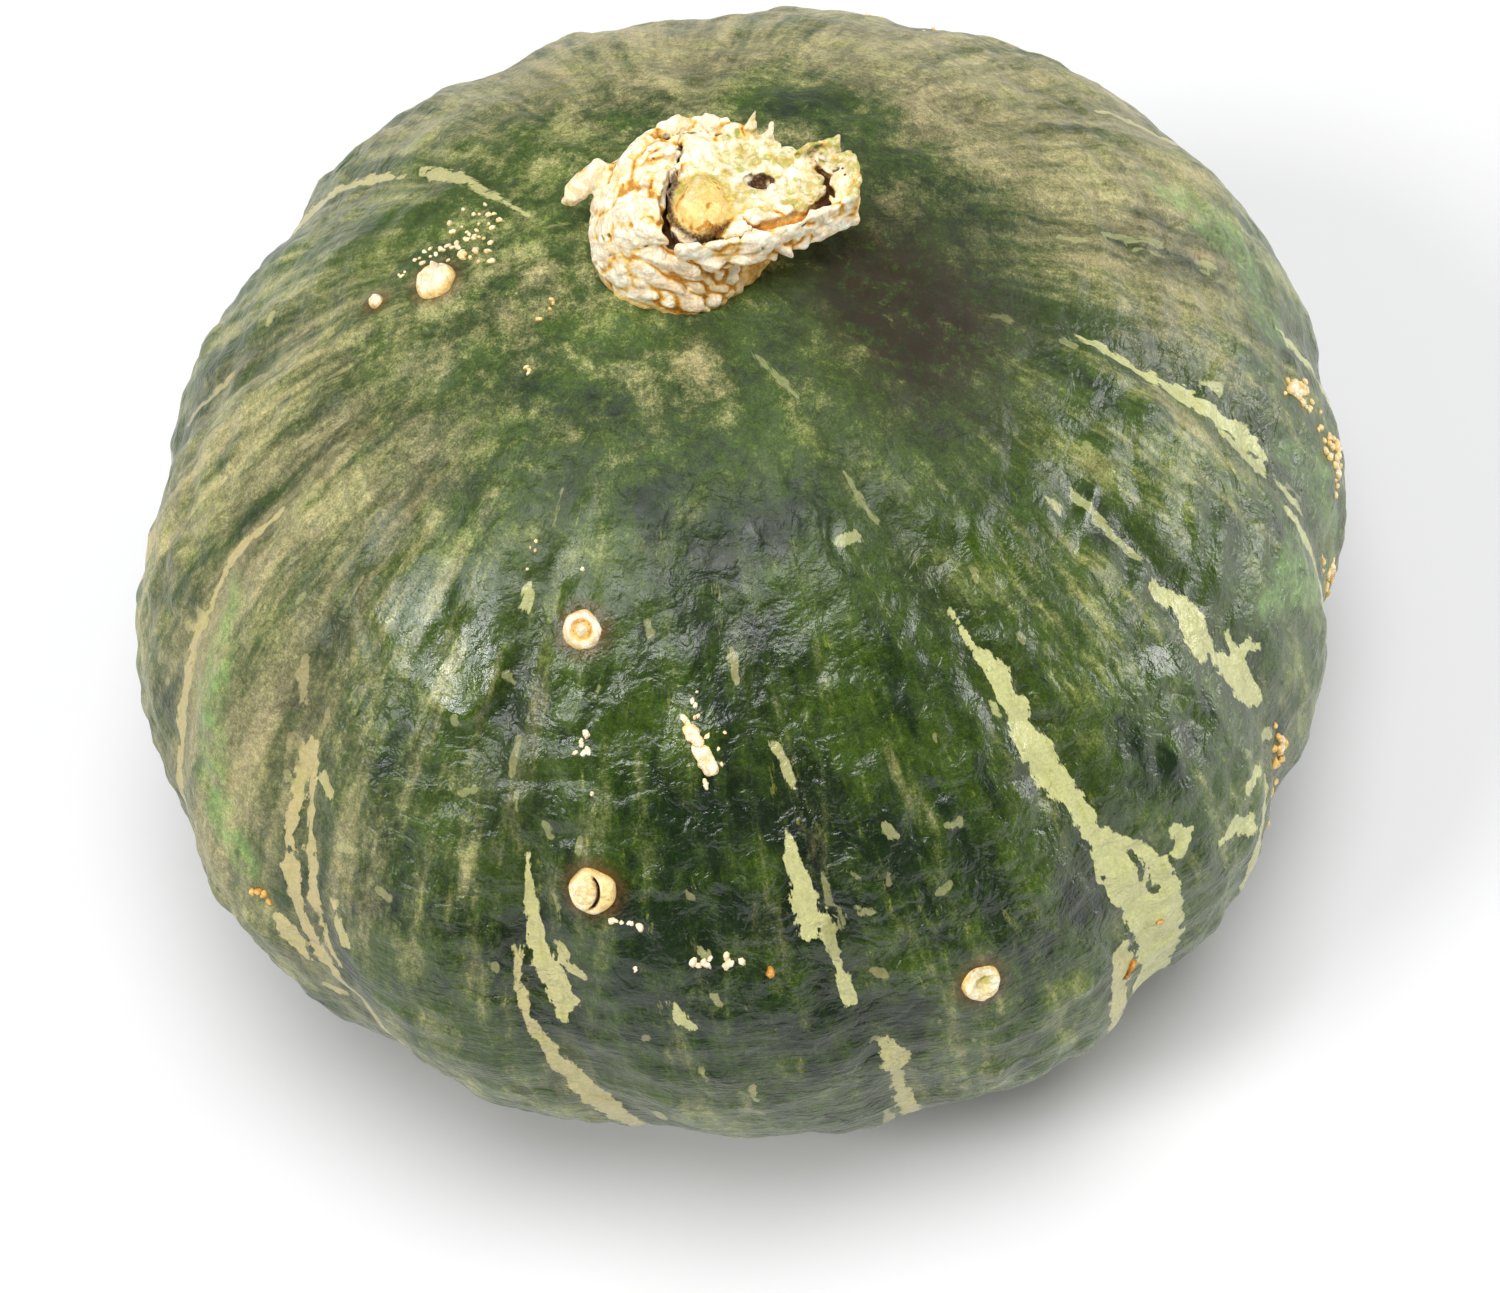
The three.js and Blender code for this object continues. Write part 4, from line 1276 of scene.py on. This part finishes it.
def wart(number, shape, noise):
    """A knob's points, faces, stains and painted shade."""
    azimuth, latitude, diameter, height, form = shape
    place, axes = skin_frame(azimuth, latitude)
    outline = oval_outline(diameter, diameter, 0.09, 0.7, noise, 5 * number)
    surface = wart_surface(form, diameter / 2, height, noise)
    points, faces, (x, y, ring) = bulge(*WART_GRID, place, axes, outline, surface)
    return points, faces, wart_stains_and_shade(form, x, y, ring, diameter / 2)


def crumb_shapes():
    """Every scab and crumb: its place, size and turn, how amber it is, and its grid."""
    rng = np.random.default_rng(CRUMB_SEED)
    shapes = [(scab, SCAB_AMBER, SCAB_GRID) for scab in SCABS]
    for azimuth, latitude, wide, high, count, size, amber in CRUMBS:
        for _ in range(count):
            width = size * rng.uniform(0.55, 1.15)
            spot = (azimuth + wide * rng.normal() * 0.7, latitude + high * rng.normal() * 0.7)
            shape = (width * rng.uniform(1.0, 1.9), width, width * 0.4, rng.uniform(-60, 60))
            shapes.append((spot + shape, amber, CRUMB_GRID))
    return shapes


def crumb(number, shape, amber, grid, noise):
    """A scab's or crumb's points, faces and stains."""
    azimuth, latitude, length, width, height, turn = shape
    place, axes = skin_frame(azimuth, latitude)
    angle = math.radians(90 + turn)
    along = math.cos(angle) * axes[0] + math.sin(angle) * axes[1]
    axes = np.array([along, np.cross(axes[2], along), axes[2]])
    outline = oval_outline(length, width, 0.4, 0.8, noise, 3 * number)
    surface = crumb_surface(height, noise, number)
    points, faces, (_, _, ring) = bulge(*grid, place, axes, outline, surface)
    clean = 0 * ring
    stains_and_shade = {"amber": amber + 0.3 * ramp(ring, 0.6, 1.0), "recess_shade": clean, "moss": clean}
    return points, faces, stains_and_shade


def skin_knobs():
    """All the corky knobs, scabs and crumbs, as one piece of many closed lumps."""
    noise = Noise(CRUMB_SEED)
    parts = [wart(number, shape, noise) for number, shape in enumerate(WARTS)]
    parts += [crumb(number, *shape, noise) for number, shape in enumerate(crumb_shapes())]
    faces, start = [], 0
    for points, listed, _ in parts:
        faces += [tuple(index + start for index in face) for face in listed]
        start += len(points)
    stains_and_shade = {name: np.concatenate([part[2][name] for part in parts]) for name in parts[0][2]}
    return make_mesh("skin_knobs", np.concatenate([part[0] for part in parts]), faces, stains_and_shade)


# ---- Materials ------------------------------------------------------------------------------


class Nodes:
    """A short way to write a tree of nodes. Sizes are in mm."""

    def __init__(self, tree):
        self.tree = tree

    def node(self, kind, **settings):
        made = self.tree.nodes.new(kind)
        for key, value in settings.items():
            setattr(made, key, value)
        return made

    def plug(self, socket, value):
        if isinstance(value, bpy.types.NodeSocket):
            self.tree.links.new(value, socket)
        else:
            socket.default_value = value

    def fill(self, made, values):
        """Give each named input of a node its value or link."""
        for name, value in values.items():
            self.plug(made.inputs[name], value)
        return made

    def field(self, name):
        return self.node("ShaderNodeAttribute", attribute_name=name).outputs["Fac"]

    def math(self, operation, *values):
        made = self.node("ShaderNodeMath", operation=operation)
        for socket, value in zip(made.inputs, values):
            self.plug(socket, value)
        return made.outputs[0]

    def times(self, *values):
        """The product of the values."""
        product = values[0]
        for value in values[1:]:
            product = self.math("MULTIPLY", product, value)
        return product

    def weighted(self, start, *parts):
        """start plus each value's difference from a half, times its weight."""
        total = start
        for value, weight in parts:
            centred = self.math("SUBTRACT", value, 0.5)
            total = self.math("ADD", total, self.times(centred, weight))
        return total

    def spread(self, value, low, high, to_low=0.0, to_high=1.0):
        """value from low..high to to_low..to_high, smooth and held at both ends."""
        made = self.node("ShaderNodeMapRange", interpolation_type="SMOOTHSTEP")
        for socket, given in zip(made.inputs, (value, low, high, to_low, to_high)):
            self.plug(socket, given)
        return made.outputs["Result"]

    def blend(self, share, first, second):
        """A number between two others."""
        made = self.node("ShaderNodeMix", data_type="FLOAT")
        for socket, value in zip((made.inputs[0], *made.inputs[2:4]), (share, first, second)):
            self.plug(socket, value)
        return made.outputs[0]

    def mix(self, share, first, second, way="MIX"):
        """A colour between two others, or combined with the second in another way."""
        made = self.node("ShaderNodeMix", data_type="RGBA", blend_type=way)
        return self.fill(made, {"Factor": share, "A": first, "B": second}).outputs["Result"]

    def layer(self, colour, paint, *shares):
        """colour with paint over it, as thick as the product of the shares."""
        return self.mix(self.times(*shares), colour, paint)

    def shade(self, colour, *levels):
        """colour times the product of the levels."""
        grey = self.node("ShaderNodeCombineColor")
        level = self.times(*levels)
        for socket in grey.inputs:
            self.plug(socket, level)
        return self.mix(1.0, colour, grey.outputs["Color"], "MULTIPLY")

    def texture(self, where, scale, size, detail, roughness, warp=0.0):
        """Noise by a point that is scaled to mm, size the width of one bump in mm."""
        mapping = self.fill(self.node("ShaderNodeMapping"), {"Vector": where, "Scale": scale})
        made = self.node("ShaderNodeTexNoise")
        self.fill(made, {"Vector": mapping.outputs["Vector"], "Scale": 1 / size})
        self.fill(made, {"Detail": detail, "Roughness": roughness, "Distortion": warp})
        return made.outputs["Fac"]

    def noise(self, size, detail=2.0, roughness=0.5, stretch=(1.0, 1.0, 1.0), warp=0.0):
        """Noise by place on the object."""
        where = self.node("ShaderNodeTexCoord").outputs["Object"]
        return self.texture(where, [1 / MM * k for k in stretch], size, detail, roughness, warp)

    def streaky(self, size, stretch, detail=3.0, roughness=0.6):
        """Noise that is drawn out along the ribs."""
        where = self.node("ShaderNodeAttribute", attribute_name="flow").outputs["Vector"]
        return self.texture(where, (1.0, 1.0, 1 / stretch), size, detail, roughness)

    def bump(self, height, depth, under=None):
        """A bump whose height 0 to 1 is depth mm, over the one under it."""
        made = self.node("ShaderNodeBump")
        self.fill(made, {"Strength": 1.0, "Distance": depth * MM, "Height": height})
        if under is not None:
            self.plug(made.inputs["Normal"], under)
        return made.outputs["Normal"]

    def rays(self):
        """1 for rays from the camera, and 1 for rays from gloss or through glass."""
        path = self.node("ShaderNodeLightPath").outputs
        shiny = self.math("MAXIMUM", path["Is Glossy Ray"], path["Is Transmission Ray"])
        return path["Is Camera Ray"], shiny


class Shader(Nodes):
    """A material's nodes."""

    def __init__(self, name):
        self.material = bpy.data.materials.new(name)
        self.material.use_nodes = True
        super().__init__(self.material.node_tree)
        self.surface = self.tree.nodes["Principled BSDF"]


WHITE = (1.0, 1.0, 1.0, 1.0)
DEEP_GREEN = srgb(14, 34, 4)
MID_GREEN = srgb(54, 76, 10)
PALE_GREY_GREEN = srgb(126, 137, 68)
DUST_AND_SHEEN_TINT = srgb(182, 166, 124)
YELLOW_GREEN = srgb(156, 160, 64)
BRIGHT_GREEN = srgb(128, 166, 84)
CREAM_MARK = srgb(192, 176, 122)
GREEN_MARK = srgb(203, 206, 142)
RUST_BROWN = srgb(92, 58, 26)
UMBER = srgb(38, 25, 2)
GROUND_YELLOW = srgb(196, 158, 84)
BLOOM = (0.8, 0.8, 0.62, 1.0)  # the waxy sheen at grazing angles

# Stains on the skin: colour, field, thickness, then the noise that breaks the stain up (size,
# detail, roughness) and the part of it that counts.
STAINS = [
    (RUST_BROWN, "rust", 0.8, (0.9, 3.0, 0.7), (0.25, 0.6)),
    (UMBER, "umber", 0.9, (2.0, 4.0, 0.7), (0.28, 0.54)),
    (GROUND_YELLOW, "under", 0.6, (14.0, 4.0, 0.6), (0.36, 0.62)),
]
# How much each field adds to the skin's roughness.
ROUGHER = [("facet", -0.12), ("dust_and_sheen", 0.2), ("crown", 0.38), ("umber", 0.2)]


def rind_colour(s):
    """The green skin without its pale marks and stains, darkened along the grooves as painted
    shade.
    """
    dust_and_sheen, crown = s.field("dust_and_sheen"), s.field("crown")
    blotch = s.noise(11.0, 3.0, 0.6)
    rib = s.blend(crown, s.streaky(6.0, 5.0), s.noise(6.0, 3.0, 0.6))
    patch = s.blend(crown, s.streaky(2.4, 3.0, 4.0, 0.7), s.noise(2.4, 4.0, 0.7))
    fine = s.noise(0.9, 3.0, 0.7)
    grain = s.noise(0.3, 2.0, 0.8)
    light = s.math("SUBTRACT", s.times(dust_and_sheen, 0.2), s.times(s.field("dark"), 0.42))
    light = s.math("ADD", light, 0.57)
    light = s.weighted(light, (blotch, 1.3), (rib, 1.2), (patch, 0.9), (fine, 0.3), (grain, 0.2))
    colour = s.mix(s.spread(light, 0.0, 0.55), DEEP_GREEN, MID_GREEN)
    colour = s.layer(colour, PALE_GREY_GREEN, s.spread(light, 0.5, 1.1))
    dust_and_sheen_cover = s.weighted(s.times(dust_and_sheen, 0.7), (rib, 1.8), (patch, 1.2), (fine, 0.4), (grain, 0.3))
    # Pale dust, partly painted sheen: it lightens places that only gloss makes bright.
    colour = s.layer(colour, DUST_AND_SHEEN_TINT, s.spread(dust_and_sheen_cover, 0.1, 1.2), 0.8)
    fleck = s.spread(s.streaky(1.6, 3.0, 4.0, 0.75), 0.6, 0.7)
    colour = s.layer(colour, YELLOW_GREEN, fleck, s.spread(rib, 0.4, 0.6), 0.5)
    mottle = s.spread(s.noise(3.0, 3.0, 0.6), 0.25, 0.7)
    colour = s.layer(colour, BRIGHT_GREEN, s.field("vivid"), mottle, 0.65)
    # Painted shade: the colour is darker along the grooves between the ribs and a little lighter on
    # the ribs.
    groove_shade = s.spread(s.field("groove_shade"), 0.0, 1.0, 1.1, 0.74)
    grain_shade = s.spread(grain, 0.25, 0.75, 0.68, 1.32)
    return s.shade(colour, groove_shade, grain_shade, s.spread(fine, 0.3, 0.7, 0.82, 1.18))


def mark_cover(s):
    """How much pale mark covers the skin at each point, with ragged crisp edges."""
    split = s.node("ShaderNodeSeparateXYZ")
    place = s.node("ShaderNodeAttribute", attribute_name="strip").outputs["Vector"]
    s.plug(split.inputs[0], place)
    sideways, overrun, half = split.outputs
    squares = s.math("ADD", s.math("POWER", sideways, 2.0), s.math("POWER", overrun, 2.0))
    fine_line = s.math("SUBTRACT", s.math("SQRT", squares), half)
    distance = s.blend(s.spread(half, 0.4, 0.65), fine_line, s.field("mark"))
    edge = s.weighted(0.0, (s.streaky(1.3, 2.2, 3.0, 0.7), 1.0), (s.noise(2.6, 1.0, 0.5), 0.9))
    wander = s.times(edge, s.spread(half, 0.2, 1.6, 1.5, 3.0))
    true_edge = s.spread(s.math("ADD", distance, wander), 0.14, -0.12)
    return s.times(true_edge, s.spread(s.field("mark"), 0.9, 0.5))


def mark_colour(s):
    """The colour of the pale marks, stained in places."""
    colour = s.mix(s.field("tint"), CREAM_MARK, GREEN_MARK)
    stain = s.spread(s.streaky(2.0, 3.0, 4.0, 0.7), 0.46, 0.72)
    colour = s.layer(colour, YELLOW_GREEN, stain, 0.45)
    return s.shade(colour, s.spread(s.noise(0.5, 2.0, 0.7), 0.25, 0.75, 0.86, 1.1))


def creases(s, size, detail, roughness, warp):
    """0 along wandering lines, and more the further from them."""
    noise = s.noise(size, detail, roughness, warp=warp)
    return s.math("ABSOLUTE", s.math("SUBTRACT", noise, 0.5))


def skin_lumps(s):
    """Rounded lumps with sharp creases between them, from 0 in a crease, strong only in places."""
    share = s.spread(s.noise(30.0, 2.0, 0.5), 0.4, 0.6, 0.35, 1.0)
    share = s.times(share, s.spread(s.field("facet"), 0.0, 1.0, 1.0, 0.2))
    return s.blend(share, 0.6, s.spread(creases(s, 6.0, 4.0, 0.5, 0.5), 0.0, 0.13))


def rind_material():
    """The waxy skin, with its pale marks and stains, and painted shade in the creases between its
    lumps.
    """
    s = Shader("rind")
    lumps = skin_lumps(s)
    # Painted shade: the colour darkens towards the creases between the lumps, which also bump the
    # normal below.
    colour = s.shade(rind_colour(s), s.spread(lumps, 0.0, 0.8, 0.76, 1.06))
    solid = s.spread(s.field("bold"), 0.0, 1.0, 0.34, 0.94)
    colour = s.layer(colour, mark_colour(s), mark_cover(s), solid)
    for paint, field, thickness, noise, limits in STAINS:
        broken = s.spread(s.noise(*noise), *limits)
        colour = s.layer(colour, paint, s.field(field), broken, thickness)
    rough = s.spread(s.noise(2.4, 3.0, 0.6), 0.3, 0.7, 0.24, 0.36)
    for field, change in ROUGHER:
        rough = s.math("ADD", rough, s.times(s.field(field), change))
    normal = s.bump(s.noise(0.4, 2.0, 0.6), 0.05)
    calm = s.spread(s.field("facet"), 0.0, 1.0, 1.0, 0.5)
    normal = s.bump(s.times(s.noise(1.3, 2.0, 0.5, warp=0.5), calm), 0.2, normal)
    normal = s.bump(lumps, 0.23, normal)
    waves = s.times(s.noise(1.0, 3.0, 0.6, (0.16, 0.16, 1.0)), s.field("flank"))
    normal = s.bump(waves, 0.45, normal)
    s.fill(s.surface, {"Base Color": colour, "Roughness": rough, "Normal": normal,
                       "Specular IOR Level": 0.6, "Sheen Weight": 0.12, "Sheen Roughness": 0.4,
                       "Sheen Tint": BLOOM})
    return s.material


CORK_CREAM = srgb(255, 249, 224)
CORK_TAN = srgb(248, 216, 136)
CORK_AMBER = srgb(220, 152, 52)
# the dark brown of the painted shade in recesses
CORK_SHADE_BROWN = srgb(74, 42, 12)
CORK_MOSS = srgb(176, 174, 62)
CORK_PINK = srgb(240, 216, 184)
CORK_RUST = srgb(156, 88, 26)


def cork_material():
    """The dry cork of the stem, the knobs and the crumbs."""
    s = Shader("cork")
    tone = s.noise(2.0, 4.0, 0.65)
    fine = s.noise(0.4, 3.0, 0.7)
    pink = s.spread(s.noise(3.0, 3.0, 0.6), 0.4, 0.6)
    moss = s.spread(s.noise(1.3, 3.0, 0.7), 0.25, 0.6)
    amber = s.weighted(s.field("amber"), (fine, 0.9), (tone, 0.6))
    recess_shade = s.weighted(s.field("recess_shade"), (fine, 0.7))
    colour = s.mix(s.spread(tone, 0.46, 0.86), CORK_CREAM, CORK_TAN)
    colour = s.layer(colour, CORK_PINK, s.field("papery"), pink, 0.6)
    colour = s.layer(colour, CORK_TAN, s.field("boss"), 0.85)
    colour = s.layer(colour, CORK_MOSS, s.field("moss"), moss)
    colour = s.layer(colour, CORK_TAN, s.spread(amber, 0.12, 0.62))
    colour = s.layer(colour, CORK_AMBER, s.spread(amber, 0.48, 1.1), 0.9)
    colour = s.layer(colour, CORK_RUST, s.spread(amber, 0.65, 1.2), 0.9)
    colour = s.layer(colour, CORK_AMBER, s.spread(creases(s, 2.3, 3.0, 0.55, 0.6), 0.09, 0.0), 0.4)
    # Painted shade: dark brown where the recess share is high.
    colour = s.layer(colour, CORK_SHADE_BROWN, s.spread(recess_shade, 0.2, 0.8))
    colour = s.shade(colour, s.spread(fine, 0.25, 0.75, 0.9, 1.14))
    normal = s.bump(s.noise(0.34, 3.0, 0.65), 0.16)
    normal = s.bump(s.noise(0.9, 3.0, 0.65), 0.34, normal)
    s.fill(s.surface, {"Base Color": colour, "Roughness": 0.78, "Specular IOR Level": 0.25,
                       "Normal": normal})
    return s.material


# ---- Stage, light and camera ----------------------------------------------------------------

PALE_CLOTH = srgb(226, 226, 227)
FLOOR_HALF = 1.5  # metres
# How much the cloth glows where the camera sees it, or where it shows in gloss or through glass:
# near the squash and far off, and how far from the middle the one ends and the other begins.
FLOOR_GLOW = (0.0, 0.7)
GLOW_REACH = (0.16, 1.2)  # metres

LAMPS = [  # name, direction from the squash, half angle in degrees, light on a facing surface
    ("lamp_left", (-0.59, -0.39, 0.71), 7.0, 0.29),
    ("lamp_top", (-0.02, -0.12, 1.0), 16.5, 0.66),
    ("lamp_right", (0.97, 0.19, 0.15), 11.0, 0.26),
]
LAMP_DISTANCE = 4.0  # metres
SKY_DIFFUSE = 0.32  # how bright the surround is to matt surfaces
SKY_GLOSSY = (0.32, 0.12)  # and to glossy ones: away from the dark side, and towards it
DARK_SIDE = (0.0, -0.93, 0.36)  # the direction of its darkest part
DARK_EDGE = (0.35, 0.9)  # where that side begins and where it is full, as cosines


def floor():
    mesh = bpy.data.meshes.new("floor")
    low, high = -FLOOR_HALF, FLOOR_HALF
    corners = [(low, low, 0), (high, low, 0), (high, high, 0), (low, high, 0)]
    mesh.from_pydata(corners, [], [(0, 1, 2, 3)])
    plane = bpy.data.objects.new("floor", mesh)
    bpy.context.scene.collection.objects.link(plane)
    s = Shader("pale_cloth")
    reach = s.node("ShaderNodeVectorMath", operation="LENGTH")
    s.plug(reach.inputs[0], s.node("ShaderNodeTexCoord").outputs["Object"])
    glow = s.spread(reach.outputs["Value"], *GLOW_REACH, *FLOOR_GLOW)
    s.fill(s.surface, {"Base Color": PALE_CLOTH, "Roughness": 0.9, "Specular IOR Level": 0.1,
                       "Emission Color": WHITE,
                       "Emission Strength": s.times(s.math("MAXIMUM", *s.rays()), glow)})
    mesh.materials.append(s.material)


def area_light(name, direction, half_angle, level):
    """A round lamp. A level of 1 makes a white surface that faces it render white."""
    data = bpy.data.lights.new(name, "AREA")
    data.shape = "DISK"
    data.size = 2 * LAMP_DISTANCE * math.tan(math.radians(half_angle))
    data.energy = level * 4 * math.pi * LAMP_DISTANCE**2
    towards = Vector(direction).normalized()
    aim(name, data, towards * LAMP_DISTANCE, towards)


def aim(name, data, place, back):
    """Put a lamp or camera at a place in metres, facing away from the direction back."""
    made = bpy.data.objects.new(name, data)
    made.location = place
    made.rotation_mode = "QUATERNION"
    made.rotation_quaternion = (-back).to_track_quat("-Z", "Y")
    bpy.context.scene.collection.objects.link(made)
    return made


def sky():
    """A pale surround, white where the camera sees it, and darker on one side in gloss."""
    world = bpy.data.worlds.new("studio")
    bpy.context.scene.world = world
    world.use_nodes = True
    s = Nodes(world.node_tree)
    facing = s.node("ShaderNodeVectorMath", operation="DOT_PRODUCT")
    s.plug(facing.inputs[0], s.node("ShaderNodeTexCoord").outputs["Generated"])
    s.plug(facing.inputs[1], DARK_SIDE)
    glossy = s.spread(facing.outputs["Value"], *DARK_EDGE, *SKY_GLOSSY)
    seen, shiny = s.rays()
    level = s.math("MULTIPLY_ADD", shiny, s.math("SUBTRACT", glossy, SKY_DIFFUSE), SKY_DIFFUSE)
    strength = s.math("MAXIMUM", level, seen)
    s.fill(s.tree.nodes["Background"], {"Color": WHITE, "Strength": strength})


def camera():
    data = bpy.data.cameras.new("camera")
    data.lens = CAMERA_LENS
    data.sensor_width = 36.0
    back = Vector(CAMERA_BACK)
    right = Vector((1.0, 0.0, 0.0))
    up = back.cross(right)
    place = back * CAMERA_DISTANCE + right * CAMERA_AIM[0] + up * CAMERA_AIM[1]
    bpy.context.scene.camera = aim("camera", data, (place + Vector(SHIFT)) * MM, back)


# ---- The whole scene ------------------------------------------------------------------------


camera()
for lamp in LAMPS:
    area_light(*lamp)
sky()
floor()
rind = rind_material()
body = fruit_body()
dress(body, rind)
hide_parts("fruit")
cork = cork_material()
stub = stem_body()
dress(stub, cork)
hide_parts("stem")
dress(skin_knobs(), cork)
bpy.context.scene.view_settings.view_transform = "Standard"
